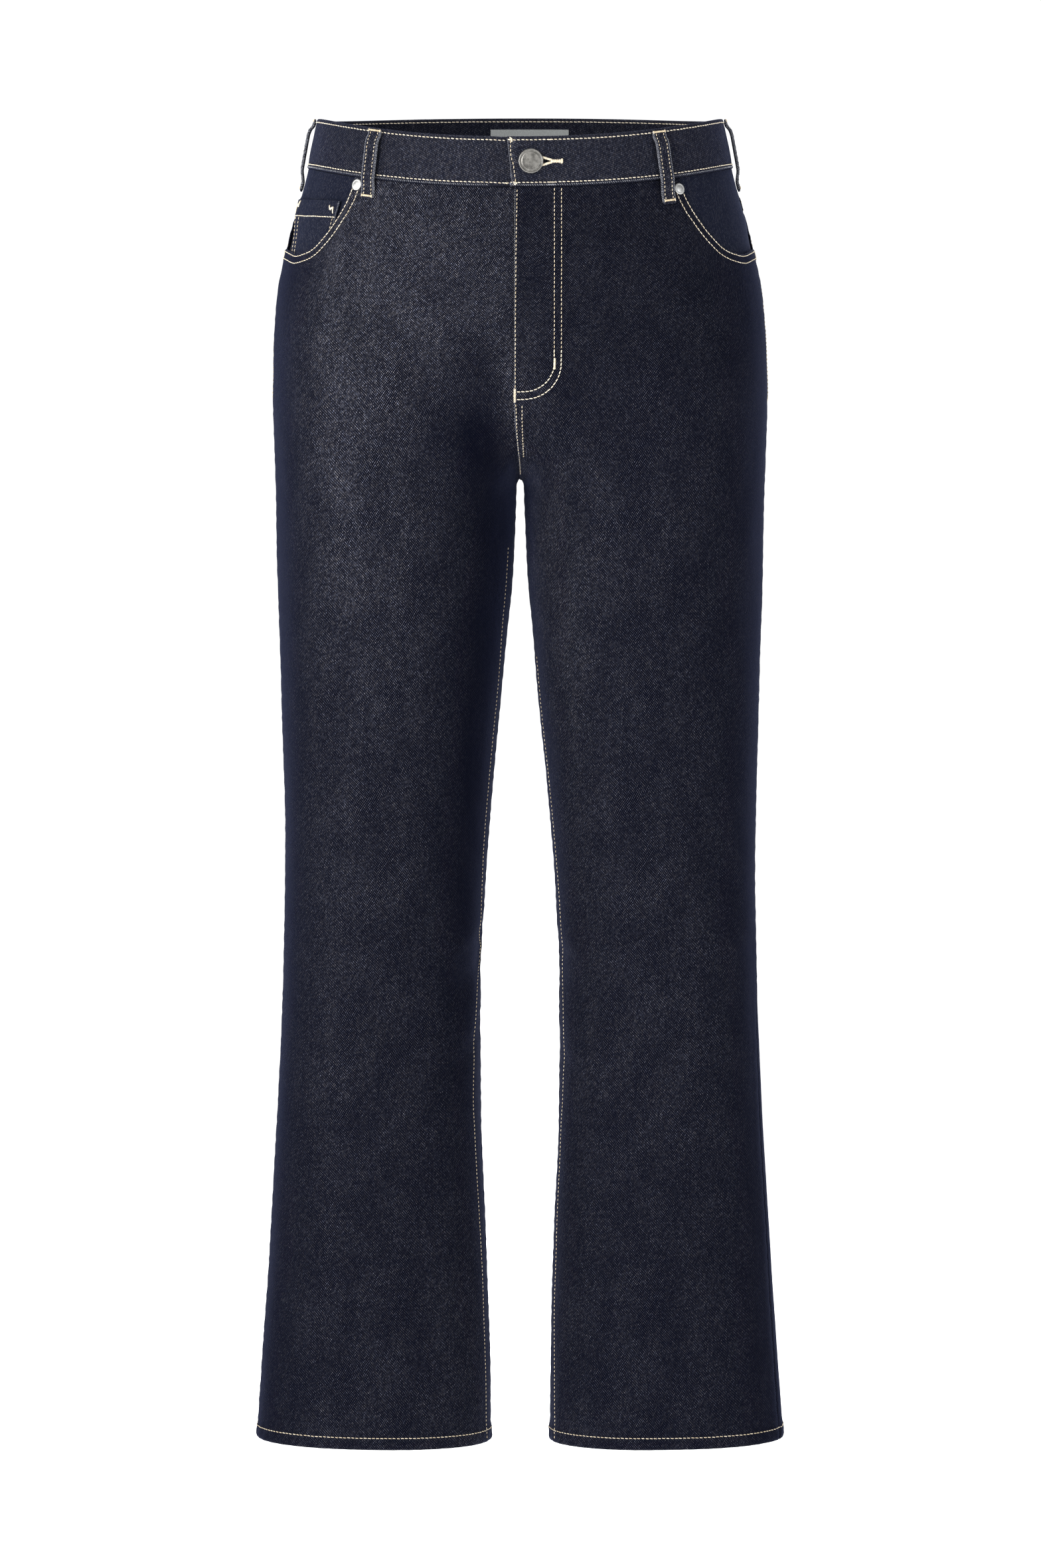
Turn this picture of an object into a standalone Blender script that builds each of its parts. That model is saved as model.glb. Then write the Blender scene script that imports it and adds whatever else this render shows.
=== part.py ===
"""Straight leg jeans, filled out as when worn and held at the waist.

Metres, +Z up. The front faces -Y, and the wearer's left leg is at +X. The origin is the middle of
the waist, level with the waistband's top edge at the side seams.

A place on the cloth is given by three values: the side (+1 is the wearer's left, -1 the right), how
far it lies around that side (0 at the side seam, 1 at the front's centre seam or the inseam, -1 at
the back's centre seam or the inseam), and its drop below the waistband's top edge.
"""

import math

import bpy
from mathutils import Matrix, Vector

# ---- cloth and gaps
CLOTH = 0.0012
HEM_CLOTH = 0.0030
SEAM_GAP = 0.0003
LAY_GAP = 0.0004

# ---- levels, as drops below the waistband's top edge
BAND_DROP = 0.0405
CROTCH_DROP = 0.2952
HEM_DROP = 1.0890
HEM_DEPTH = 0.0115

# ---- the form: how far the side seams, the front and the back lie from the middle
OUTER_COLUMNS = ("drop", "half width at the side seam")
OUTER_ROWS = (
    (0.000, 0.1651), (0.041, 0.1737), (0.066, 0.1802), (0.088, 0.1868), (0.110, 0.1920),
    (0.143, 0.1986), (0.187, 0.2019), (0.231, 0.2030), (0.275, 0.2017), (0.319, 0.2005),
    (0.374, 0.1995), (0.484, 0.1965), (0.594, 0.1937), (0.704, 0.1956), (0.814, 0.2004),
    (0.924, 0.2073), (1.034, 0.2153), (1.089, 0.2187),
)
INNER_COLUMNS = ("drop", "half gap between the legs")
INNER_ROWS = (
    (0.2952, 0.0034), (0.3155, 0.0038), (0.370, 0.0061), (0.425, 0.0113), (0.480, 0.0162),
    (0.535, 0.0217), (0.590, 0.0264), (0.645, 0.0300), (0.700, 0.0322), (0.755, 0.0327),
    (0.811, 0.0323), (0.922, 0.0287), (1.034, 0.0254), (1.089, 0.0243),
)
DEPTH_COLUMNS = ("drop", "reach to the front", "reach to the back")
DEPTH_ROWS = (
    (0.000, 0.118, 0.112), (0.041, 0.122, 0.121), (0.100, 0.132, 0.137), (0.200, 0.129, 0.157),
    (0.250, 0.122, 0.152), (0.295, 0.115, 0.139), (0.374, 0.108, 0.120), (0.484, 0.098, 0.100),
    (0.650, 0.084, 0.078), (0.760, 0.077, 0.075), (0.870, 0.071, 0.073), (1.089, 0.062, 0.065),
)
LEG_ROUNDNESS = 2.2
TORSO_ROUNDNESS = 2.25
CREASE_SHIFT = 0.004
HIPS_BLEND = (0.100, 0.235)

# ---- the crotch: each half of its seam is one U-shaped curve from the fork to the centre seam
FORK_Y = 0.005
CROTCH_COLUMNS = ("face", "height of the U", "share of the reach at its top")
CROTCH_ROWS = {"front": (0.085, 0.97), "back": (0.120, 0.93)}
ARCH_DROP = 0.006
CROTCH_SOFTNESS = 0.090

# ---- lean of the edges
WAIST_DIP_FRONT = 0.0200
WAIST_RISE_BACK = 0.0075
WAIST_DIP_FADE = (0.050, 0.220)
CENTRE_SHIFT_COLUMNS = ("face", "shift to the wearer's left", "from the drop where it fades", "to")
CENTRE_SHIFT_ROWS = {"front": (-0.0040, 0.236, 0.293), "back": (0.0080, 0.200, 0.290)}
CENTRE_SHIFT_REACH = 0.150
HEM_SLANT = 0.0033
HEM_SLANT_FADE = (1.000, 1.089)
LEFT_OUTSEAM_SWING = 0.10
OUTSEAM_SWING_FADE = (0.560, 0.820)

# ---- the largest folds, each a straight trough or, with a negative depth, a ridge
FOLD_COLUMNS = ("side", "from around", "from drop", "to around", "to drop", "half width", "depth")
FOLD_ROWS = (
    (-1, 0.86, 0.262, 0.58, 0.212, 0.016, 0.0030),
    (-1, 0.80, 0.330, 0.45, 0.262, 0.022, 0.0024),
    (1, 0.86, 0.270, 0.60, 0.226, 0.015, 0.0024),
    (1, 0.78, 0.345, 0.44, 0.300, 0.022, 0.0020),
    (-1, 0.95, 0.690, 0.55, 0.740, 0.018, 0.0032),
    (-1, 0.55, 0.740, 0.40, 0.860, 0.020, 0.0022),
    (1, 0.92, 0.700, 0.60, 0.735, 0.020, 0.0020),
    (1, 0.45, 0.780, 0.36, 0.930, 0.024, 0.0016),
    (-1, 0.42, 0.420, 0.30, 0.620, 0.030, 0.0018),
    (1, 0.40, 0.440, 0.34, 0.640, 0.030, 0.0016),
    (-1, -0.88, 0.345, -0.35, 0.300, 0.018, 0.0034),
    (1, -0.86, 0.352, -0.38, 0.312, 0.018, 0.0030),
    (-1, -0.90, 0.700, -0.20, 0.668, 0.018, 0.0036),
    (1, -0.88, 0.712, -0.24, 0.690, 0.019, 0.0032),
    (-1, -0.80, 0.742, -0.40, 0.770, 0.016, 0.0022),
    (1, -0.76, 0.760, -0.42, 0.735, 0.016, 0.0020),
)

# ---- pieces
EDGE_SHARE = 0.0006
NARROW_SHARE = 0.0080
PANEL_SHARES = (
    0.0, 0.055, 0.115, 0.175, 0.235, 0.290, 0.330, 0.362, 0.388, 0.480, 0.580, 0.680, 0.785, 0.890, 1.0,
)
MOUTH_COLUMNS = ("around", "drop of the pocket's mouth")
MOUTH_ROWS = (
    (0.000, 0.1056), (0.100, 0.1076), (0.170, 0.1094), (0.230, 0.1063), (0.265, 0.1023),
    (0.300, 0.0938), (0.325, 0.0854), (0.350, 0.0731), (0.373, 0.0583), (0.388, 0.0408),
)
MOUTH_SHIFT = 0.012
MOUTH_SETTLES = 0.160
YOKE_SIDE = 0.035
YOKE_CENTRE = 0.070
YOKE_SETTLES = 0.190

BAND_CLOTH = 0.0030
BAND_PROUD = 0.0010
LAP_UNDER_X = 0.030
LAP_RAMP_X = (-0.0120, -0.0260)
LAP_END_X = (-0.0105, -0.0065)

FACING_COLUMNS = 11
FACING_DROP = 0.205
COIN_GAP = 0.0007
COIN_SINK = CLOTH + COIN_GAP
FACING_SINK = {1: CLOTH + COIN_GAP, -1: COIN_SINK + CLOTH + LAY_GAP}
COIN_COLUMNS = ("drop at the outer side", "drop at the inner side", "around, outer", "around, inner")
COIN_ROWS = ((0.0660, 0.0614, 0.045, 0.327), (0.1541, 0.1521, 0.150, 0.312))

POCKET_FROM_SIDE = 0.014
POCKET_TOP_WIDTH = 0.160
POCKET_FOOT_WIDTH = 0.140
POCKET_SIDE_DEPTH = 0.132
POCKET_POINT_DEPTH = 0.026
POCKET_TOP_DROP = 0.092
POCKET_LEAN = 0.105
POCKET_CLOTH = 0.0014
POCKET_GAP = 0.0007

LOOP_WIDTH = 0.0115
LOOP_CLOTH = 0.0023
LOOP_DROPS = (0.0006, 0.0592)
LOOP_ARCH = 0.0026
LOOP_FLAT_SHARE = 0.95
LOOP_COLUMNS = ("name", "side", "around at its top", "around at its foot")
LOOP_ROWS = (
    ("belt_loop_front_right", -1, 0.4435, 0.4480),
    ("belt_loop_front_left", 1, 0.4620, 0.4600),
    ("belt_loop_side_right", -1, 0.000, 0.000),
    ("belt_loop_side_left", 1, 0.000, 0.000),
    ("belt_loop_back_right", -1, -0.584, -0.584),
    ("belt_loop_back_left", 1, -0.478, -0.478),
)

ZIP_DROPS = (0.0430, 0.2220)
ZIP_TONGUE_DROP = 0.0600
ZIP_COLUMNS = ("from the centre seam", "lift", "thick")
ZIP_ROWS = (
    (-0.0150, -0.0023, False), (-0.0090, -0.0029, False), (-0.0050, -0.0042, False),
    (-0.0032, -0.0036, True), (0.0032, -0.0036, True),
    (0.0050, -0.0042, False), (0.0090, -0.0029, False), (0.0150, -0.0023, False),
)
CHAIN_THICKNESS = 0.0024
TAPE_THICKNESS = 0.0008
SLIDER_SIZE = (0.0080, 0.0042, 0.0110)
SLIDER_FRONT_LIFT = -0.0033
TAB_SIZE = (0.0050, 0.0010, 0.0150)

BUTTON_X = 0.0085
BUTTON_PROFILE = (
    (0.0000, -0.0030), (0.0025, -0.0030), (0.0025, 0.0003), (0.0090, 0.0003), (0.0099, 0.0010),
    (0.0100, 0.0022), (0.0094, 0.0032), (0.0084, 0.0033), (0.0077, 0.0027), (0.0000, 0.0030),
)
BUTTONHOLE_EYE = 0.0033
BUTTONHOLE_END = 0.0165
RIVET_PROFILE = (
    (0.0000, 0.0003), (0.0046, 0.0003), (0.0046, 0.0007), (0.0037, 0.0012), (0.0029, 0.0011),
    (0.0020, 0.0016), (0.0000, 0.0019),
)
RIVET_COLUMNS = ("name", "side", "around", "drop")
RIVET_ROWS = (("rivet_right", -1, 0.394, 0.0470), ("rivet_left", 1, 0.411, 0.0499))

LABEL_WIDTH = 0.066
LABEL_DROPS = (0.0090, 0.0385)
LABEL_CLOTH = 0.0006


# ---------------------------------------------------------------- plain mathematics

def smoothstep(low, high, value):
    share = min(1.0, max(0.0, (value - low) / (high - low)))
    return share * share * (3.0 - 2.0 * share)


def mix(a, b, share):
    return a + (b - a) * share


def slope_at(rows, column, i):
    """The slope of a table's curve at its row i, flat wherever the values turn."""
    def rise(k):
        return (rows[k + 1][column] - rows[k][column]) / (rows[k + 1][0] - rows[k][0])
    if i == 0:
        return rise(0)
    if i == len(rows) - 1:
        return rise(i - 1)
    before, after = rise(i - 1), rise(i)
    if before * after <= 0.0:
        return 0.0
    return 2.0 * before * after / (before + after)


def read_table(rows, column, drop):
    """The value in a column at a drop, on a smooth curve through the rows that never overshoots."""
    if drop <= rows[0][0]:
        return rows[0][column]
    if drop >= rows[-1][0]:
        return rows[-1][column]
    i = max(k for k in range(len(rows) - 1) if rows[k][0] <= drop)
    length = rows[i + 1][0] - rows[i][0]
    t = (drop - rows[i][0]) / length
    start, end = rows[i][column], rows[i + 1][column]
    leave, arrive = slope_at(rows, column, i) * length, slope_at(rows, column, i + 1) * length
    return (
        start * (2 * t**3 - 3 * t**2 + 1) + leave * (t**3 - 2 * t**2 + t)
        + end * (3 * t**2 - 2 * t**3) + arrive * (t**3 - t**2)
    )


# ---------------------------------------------------------------- the form of the cloth

def reach(face, drop):
    """Signed y of the cloth's furthest point on a face."""
    if face == "front":
        return -read_table(DEPTH_ROWS, 1, drop)
    return read_table(DEPTH_ROWS, 2, drop)


def arch_share(drop):
    """How far the gap between the legs has opened at the inseam: 0 at the fork and 1 below the arch."""
    below = min(1.0, max(0.0, (drop - CROTCH_DROP) / ARCH_DROP))
    return math.sqrt(1.0 - (1.0 - below) ** 2)


def inner_plan(face, share, drop, crease, gap):
    """x and y between the crease line and the inseam or centre seam.

    Below the fork this is a quarter of a rounded square. Above it, the same curve opens into the
    valley that the crotch seam climbs.
    """
    height, top_share = CROTCH_ROWS[face]
    arch = arch_share(drop)
    x = crease - (crease - gap * arch) * abs(math.cos(share * math.pi)) ** (2.0 / LEG_ROUNDNESS)
    rounded = math.sqrt(x * x + gap * gap * (1.0 - arch * arch))
    inwards = min(1.0, (crease - rounded) / (crease - gap))
    above = CROTCH_DROP - drop
    softness = CROTCH_SOFTNESS * (1.0 - inwards)
    climb = min(1.0, (above + math.hypot(above, softness)) / 2.0 / height)
    run = max(0.0, 1.0 - (inwards * (1.0 - climb)) ** LEG_ROUNDNESS) ** (1.0 / LEG_ROUNDNESS)
    far = reach(face, drop) * (1.0 - (1.0 - top_share) * inwards**2 * climb)
    return x, FORK_Y + (far - FORK_Y) * run


def leg_plan(face, share, drop):
    """x and y on one leg: two round arcs that meet on the crease line, where the share is a half."""
    outer = read_table(OUTER_ROWS, 1, drop)
    gap = read_table(INNER_ROWS, 1, drop)
    crease = (outer + gap) / 2.0 + CREASE_SHIFT
    if share > 0.5:
        return inner_plan(face, share, drop, crease, gap)
    power = 2.0 / LEG_ROUNDNESS
    along = abs(math.cos(share * math.pi)) ** power
    out = max(0.0, math.sin(share * math.pi)) ** power
    return crease + (outer - crease) * along, reach(face, drop) * out


def torso_plan(face, share, drop):
    """x and y on one quarter of the hips, a single round arc from side seam to centre."""
    angle = share * (1.4 - 0.4 * share) * math.pi / 2.0
    power = 2.0 / TORSO_ROUNDNESS
    x = read_table(OUTER_ROWS, 1, drop) * max(0.0, math.cos(angle)) ** power
    y = reach(face, drop) * math.sin(angle) ** power
    return x, y


def fold_depth(side, around, drop):
    """How far the folds push the cloth in at a place."""
    girth = 0.25
    depth = 0.0
    for row_side, around_a, drop_a, around_b, drop_b, half_width, row_depth in FOLD_ROWS:
        if row_side != side:
            continue
        along_x, along_y = (around_b - around_a) * girth, drop_b - drop_a
        x, y = (around - around_a) * girth, drop - drop_a
        share = (x * along_x + y * along_y) / (along_x**2 + along_y**2)
        held = min(1.0, max(0.0, share))
        away = math.hypot(x - along_x * held, y - along_y * held) / half_width
        if away < 3.0:
            depth += row_depth * math.exp(-away * away)
    return depth


def form_point(side, around, drop):
    """The outer surface of the cloth at a place."""
    face = "front" if around >= 0.0 else "back"
    share = min(1.0, abs(around))
    torso = 1.0 - smoothstep(HIPS_BLEND[0], HIPS_BLEND[1], drop)
    x, y = leg_plan(face, share, drop) if torso < 1.0 else (0.0, 0.0)
    if torso > 0.0:
        torso_x, torso_y = torso_plan(face, share, drop)
        x, y = mix(x, torso_x, torso), mix(y, torso_y, torso)
    outer = read_table(OUTER_ROWS, 1, drop)
    gap = read_table(INNER_ROWS, 1, drop)
    far = reach(face, drop)
    axis_x = mix((outer + gap) / 2.0, 0.0, torso)
    away = Vector((x - axis_x, y))
    if away.length > 0.0:
        pushed = away.normalized() * fold_depth(side, around, drop)
        x, y = x - pushed.x, y - pushed.y
    dip = -WAIST_DIP_FRONT if face == "front" else WAIST_RISE_BACK
    z = -drop + dip * (y / far) ** 2 * (1.0 - smoothstep(*WAIST_DIP_FADE, drop))
    inwards = (outer - x) / (outer - gap)
    z -= HEM_SLANT * inwards * smoothstep(*HEM_SLANT_FADE, drop)
    shift, fade_from, fade_to = CENTRE_SHIFT_ROWS[face]
    shift *= (1.0 - smoothstep(0.0, CENTRE_SHIFT_REACH, x)) * (1.0 - smoothstep(fade_from, fade_to, drop))
    return Vector((side * (x + SEAM_GAP / 2.0) + shift, y, z))


def frame_at(side, around, drop):
    """The point, the unit vector around the body, the one down it, and the outward normal."""
    step_around, step_drop = 0.004, 0.002
    ahead = form_point(side, min(1.0, around + step_around), drop)
    behind = form_point(side, max(-1.0, around - step_around), drop)
    below = form_point(side, around, drop + step_drop)
    above = form_point(side, around, max(0.0, drop - step_drop))
    across = (ahead - behind).normalized()
    down = (below - above).normalized()
    normal = (across.cross(down) * side).normalized()
    return form_point(side, around, drop), across, down, normal


def lifted(side, around, drop, lift):
    """A place on the cloth moved out from it by the lift, or in if that is negative."""
    point, _, _, normal = frame_at(side, around, drop)
    return point + normal * lift


def around_at_x(side, x, drop, direction=1):
    """How far around the front, or the back where the direction is -1, a given x lies."""
    low, high = 0.3, 1.0
    for _ in range(30):
        middle = (low + high) / 2.0
        if side * (form_point(side, direction * middle, drop).x - x) > 0.0:
            low = middle
        else:
            high = middle
    return direction * (low + high) / 2.0


def around_at_length(side, face, length, drop):
    """How far around a face lies at a length measured from the side seam along the cloth."""
    direction = 1.0 if face == "front" else -1.0
    step = 0.01
    around, walked = 0.0, 0.0
    here = form_point(side, 0.0, drop)
    while around < 1.0:
        there = form_point(side, direction * (around + step), drop)
        stride = (there - here).length
        if walked + stride >= length:
            return direction * (around + step * (length - walked) / stride)
        around, walked, here = around + step, walked + stride, there
    return direction


# ---------------------------------------------------------------- making objects

def clear_scene():
    for old in list(bpy.data.objects):
        bpy.data.objects.remove(old, do_unlink=True)


def finish(name, colour, roughness, metallic=0.0):
    material = bpy.data.materials.new(name)
    material.use_nodes = True
    shader = material.node_tree.nodes["Principled BSDF"]
    shader.inputs["Base Color"].default_value = (*colour, 1.0)
    shader.inputs["Roughness"].default_value = roughness
    shader.inputs["Metallic"].default_value = metallic
    return material


def add_mesh(name, points, faces, material):
    mesh = bpy.data.meshes.new(name)
    mesh.from_pydata([tuple(point) for point in points], [], faces)
    mesh.materials.append(material)
    mesh.validate()
    item = bpy.data.objects.new(name, mesh)
    bpy.context.collection.objects.link(item)
    return item


def add_cloth(name, rows, thickness, outward, material, thick=None, thin_share=1.0, skip=None):
    """A wall of cloth from rows of points on its outer face.

    outward is 1 where the rows run down and the points within a row run clockwise round the body
    as seen from above, and -1 where they run the other way. thick tells which places have the
    whole thickness, and the others have thin_share of it. skip leaves out a face by row and column.
    """
    width = len(rows[0])
    points = [point for row in rows for point in row]
    faces = []
    for i in range(len(rows) - 1):
        for k in range(width - 1):
            if skip and skip(i, k):
                continue
            corner = i * width + k
            face = (corner, corner + width, corner + width + 1, corner + 1)
            faces.append(face if outward < 0 else face[::-1])
    item = add_mesh(name, points, faces, material)
    wall = item.modifiers.new("wall", "SOLIDIFY")
    wall.thickness = thickness
    wall.offset = -1.0
    wall.use_even_offset = False
    if thick:
        group = item.vertex_groups.new(name="thick")
        chosen = [i * width + k for i in range(len(rows)) for k in range(width) if thick(i, k)]
        group.add(chosen, 1.0, "REPLACE")
        wall.vertex_group = group.name
        wall.thickness_vertex_group = thin_share
    return item


def add_turned(name, profile, steps, place, material):
    """A round piece from a profile of radius and height, turned about its own Z."""
    points = []
    rings = []
    for radius, height in profile:
        if radius == 0.0:
            rings.append([len(points)])
            points.append((0.0, 0.0, height))
            continue
        rings.append([len(points) + k for k in range(steps)])
        for k in range(steps):
            angle = 2.0 * math.pi * k / steps
            points.append((radius * math.cos(angle), radius * math.sin(angle), height))
    faces = []
    for low, high in zip(rings, rings[1:]):
        for k in range(steps):
            after = (k + 1) % steps
            if len(low) == 1:
                faces.append((low[0], high[after], high[k]))
            elif len(high) == 1:
                faces.append((low[k], low[after], high[0]))
            else:
                faces.append((low[k], low[after], high[after], high[k]))
    item = add_mesh(name, points, faces, material)
    item.matrix_world = place
    item.data.shade_smooth()
    item.data.set_sharp_from_angle(angle=math.radians(35.0))
    return item


def place_on_cloth(side, around, drop, lift):
    """A matrix that stands Z on the cloth, with Y up it."""
    point, _, down, normal = frame_at(side, around, drop)
    up = -down
    across = up.cross(normal).normalized()
    up = normal.cross(across)
    turn = Matrix((across, up, normal)).transposed().to_4x4()
    return Matrix.Translation(point + normal * lift) @ turn


# ---------------------------------------------------------------- panels

def panel_levels(top, settles):
    """Drops of a panel's rows: even over the hips, crowded at the crotch and wide down the leg."""
    hips = [mix(top, settles, k / 7) for k in range(7)]
    seat_end = 0.250
    seat = [mix(settles, seat_end, k / 4) for k in range(4)]
    above = [CROTCH_DROP - (CROTCH_DROP - seat_end) * (1.0 - k / 5) ** 2 for k in range(5)]
    thigh = 0.345
    below = [CROTCH_DROP + (thigh - CROTCH_DROP) * (k / 5) ** 2 for k in range(5)]
    hem_fold = HEM_DROP - HEM_DEPTH
    leg = [mix(thigh, hem_fold, k / 14) for k in range(15)]
    return hips + seat + above + below + leg + [hem_fold + 0.0006, HEM_DROP]


def column_shares(side, drop):
    """Places of a panel's columns: one leads to the corner of the mouth, and both edges have a narrow one."""
    torso = 1.0 - smoothstep(HIPS_BLEND[0], HIPS_BLEND[1], drop)
    last = len(PANEL_SHARES) - 1
    shares = []
    for k, hips in enumerate(PANEL_SHARES):
        hips += side * MOUTH_SHIFT * math.sin(math.pi * hips) ** 2
        shares.append(mix(k / last, hips, torso))
    shares[0], shares[-1] = EDGE_SHARE, 1.0 - EDGE_SHARE
    return [shares[0], NARROW_SHARE] + shares[1:-1] + [1.0 - NARROW_SHARE, shares[-1]]


def outseam(side, drop):
    """How far the side seam has swung forward around the leg."""
    swing = LEFT_OUTSEAM_SWING if side > 0 else 0.0
    return swing * smoothstep(*OUTSEAM_SWING_FADE, drop)


def around_of(side, face, share, drop):
    seam = outseam(side, drop)
    if face == "front":
        return mix(seam, 1.0, share)
    return mix(seam, -1.0, share)


def mouth_line(side, share):
    """Drop of the front panel's top edge: the pocket's mouth, then the waistband's seam."""
    corner = MOUTH_ROWS[-1][0]
    share -= side * MOUTH_SHIFT * math.sin(math.pi * share) ** 2
    if share >= corner - 0.0005:
        return BAND_DROP + SEAM_GAP
    return read_table(MOUTH_ROWS, 1, share)


def yoke_line(side, share):
    """Drop of the seam between yoke and back panel."""
    return BAND_DROP + mix(YOKE_SIDE, YOKE_CENTRE, share)


def make_panel(name, side, face, top_line, settles, material):
    top = min(top_line(side, 0.0), top_line(side, 1.0))
    rows = []
    for level in panel_levels(top, settles):
        fade = max(0.0, 1.0 - (level - top) / (settles - top))
        row = []
        for share in column_shares(side, level):
            drop = level + (top_line(side, share) - top) * fade
            row.append(form_point(side, around_of(side, face, share, drop), drop))
        rows.append(row)
    hem_row = len(rows) - 2
    outward = side if face == "front" else -side
    return add_cloth(
        name, rows, HEM_CLOTH, outward, material,
        thick=lambda i, k: i >= hem_row, thin_share=CLOTH / HEM_CLOTH,
    )


def make_facing(name, side, material):
    """The ply behind the pocket's mouth, which shows in the mouth and goes on down behind the panel."""
    top, heights = BAND_DROP + SEAM_GAP, 9
    rows = []
    for i in range(heights + 1):
        drop = mix(top, FACING_DROP, i / heights)
        shares = column_shares(side, 0.0)[:FACING_COLUMNS + 1]
        rows.append([lifted(side, share, drop, -FACING_SINK[side]) for share in shares])
    return add_cloth(name, rows, CLOTH, side, material)


def make_coin_pocket(material):
    """The small pocket in the right mouth, narrower at its foot, between the facing and the panel."""
    columns, heights = 6, 6
    top, foot = COIN_ROWS
    rows = []
    for i in range(heights + 1):
        down = i / heights
        row = []
        for k in range(columns + 1):
            across = k / columns
            drop = mix(mix(top[0], top[1], across), mix(foot[0], foot[1], across), down)
            around = mix(mix(top[2], top[3], across), mix(foot[2], foot[3], across), down)
            row.append(lifted(-1, around, drop, -COIN_SINK))
        rows.append(row)
    return add_cloth("coin_pocket", rows, CLOTH, -1, material)


def make_yoke(name, side, material):
    top = BAND_DROP + SEAM_GAP
    columns, heights = 12, 4
    rows = []
    for i in range(heights + 1):
        row = []
        for k in range(columns + 1):
            share = min(1.0, max(0.0003, (k / columns) ** 1.15))
            drop = mix(top, yoke_line(side, share) - SEAM_GAP, i / heights)
            row.append(form_point(side, -share, drop))
        rows.append(row)
    return add_cloth(name, rows, CLOTH, -side, material)


def make_back_pocket(name, side, material):
    """A five-sided patch, wider at its mouth, with its top edge parallel to the yoke's seam."""
    columns, heights = 12, 10
    middle = POCKET_FROM_SIDE + POCKET_TOP_WIDTH / 2.0
    rows = []
    for i in range(heights + 1):
        down = i / heights
        row = []
        for k in range(columns + 1):
            across = 2.0 * k / columns - 1.0
            half = mix(POCKET_TOP_WIDTH, POCKET_FOOT_WIDTH, down) / 2.0
            depth = down * (POCKET_SIDE_DEPTH + POCKET_POINT_DEPTH * (1.0 - abs(across)))
            length = middle + across * half - depth * POCKET_LEAN
            drop = POCKET_TOP_DROP + depth + (middle + across * half) * POCKET_LEAN
            around = around_at_length(side, "back", length, drop)
            row.append(lifted(side, around, drop, POCKET_CLOTH + POCKET_GAP))
        rows.append(row)
    return add_cloth(name, rows, POCKET_CLOTH, -side, material)


# ---------------------------------------------------------------- waistband and loops

def band_stations():
    """Places along the waistband from its under end, round the body, to its top end.

    Each station is a side, the place around at the top and bottom edges, and how far it is sunk.
    """
    mid = BAND_DROP / 2.0
    lap = BAND_CLOTH + SEAM_GAP
    stations = []
    for x, sink in ((LAP_UNDER_X, lap), (0.019, lap), (0.008, lap)):
        around = around_at_x(1, x, mid)
        stations.append((1, around, around, sink))
    for x, sink in ((-0.0040, lap), (LAP_RAMP_X[0], lap), (LAP_RAMP_X[1], 0.0)):
        around = around_at_x(-1, x, mid)
        stations.append((-1, around, around, sink))
    front_end = around_at_x(-1, -0.036, mid)
    quarter = 10
    fronts = [front_end * (1.0 - k / quarter) for k in range(quarter)]
    stations += [(-1, around, around, 0.0) for around in fronts]
    backs = [-k / quarter for k in range(quarter + 1)]
    stations += [(-1, around, around, 0.0) for around in backs]
    stations += [(1, around, around, 0.0) for around in backs[-2::-1]]
    stations += [(1, around, around, 0.0) for around in fronts[-2::-1]]
    for x in (0.024, 0.012, 0.002):
        around = around_at_x(1, x, mid)
        stations.append((1, around, around, 0.0))
    end_top, end_foot = (around_at_x(-1, x, mid) for x in LAP_END_X)
    stations.append((-1, end_top, end_foot, 0.0))
    return stations


def make_waistband(material):
    heights = 3
    rows = []
    for i in range(heights + 1):
        share = i / heights
        row = []
        for side, around_top, around_foot, sink in band_stations():
            around = mix(around_top, around_foot, share)
            row.append(lifted(side, around, share * BAND_DROP, BAND_PROUD - sink))
        rows.append(row)
    band = add_cloth("waistband", rows, BAND_CLOTH, 1, material)
    hole = band.modifiers.new("buttonhole", "BOOLEAN")
    hole.operation = "DIFFERENCE"
    hole.solver = "EXACT"
    hole.object = make_buttonhole_cutter()
    return band


def make_buttonhole_cutter():
    """A drop-shaped peg, round under the button and drawn to a point at the slit's end."""
    deep, high = -BAND_CLOTH - 0.0001, 0.0040
    outline = []
    for k in range(9):
        angle = math.radians(70.0 + 220.0 * k / 8)
        outline.append((BUTTONHOLE_EYE * math.cos(angle), BUTTONHOLE_EYE * math.sin(angle)))
    outline.append((BUTTONHOLE_END, -0.0004))
    outline.append((BUTTONHOLE_END, 0.0004))
    count = len(outline)
    points = [(x, y, deep) for x, y in outline] + [(x, y, high) for x, y in outline]
    faces = [tuple(reversed(range(count))), tuple(range(count, 2 * count))]
    for k in range(count):
        after = (k + 1) % count
        faces.append((k, after, after + count, k + count))
    cutter = add_mesh("buttonhole_cutter", points, faces, finish("cutter", (0.5, 0.5, 0.5), 0.5))
    cutter.matrix_world = button_place()
    cutter.hide_render = True
    cutter.display_type = "WIRE"
    return cutter


def button_place():
    mid = BAND_DROP / 2.0
    return place_on_cloth(1, around_at_x(1, BUTTON_X, mid), mid, BAND_PROUD)


def loop_rise(share, drop):
    """Lift of a loop's outer face: flat at its ends, standing off the waistband between them."""
    ground = BAND_PROUD * (1.0 - smoothstep(BAND_DROP + 0.001, BAND_DROP + 0.009, drop))
    arch = math.sin(math.pi * min(1.0, share / LOOP_FLAT_SHARE)) ** 0.5
    return ground + LOOP_ARCH * arch + LAY_GAP + LOOP_CLOTH


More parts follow.
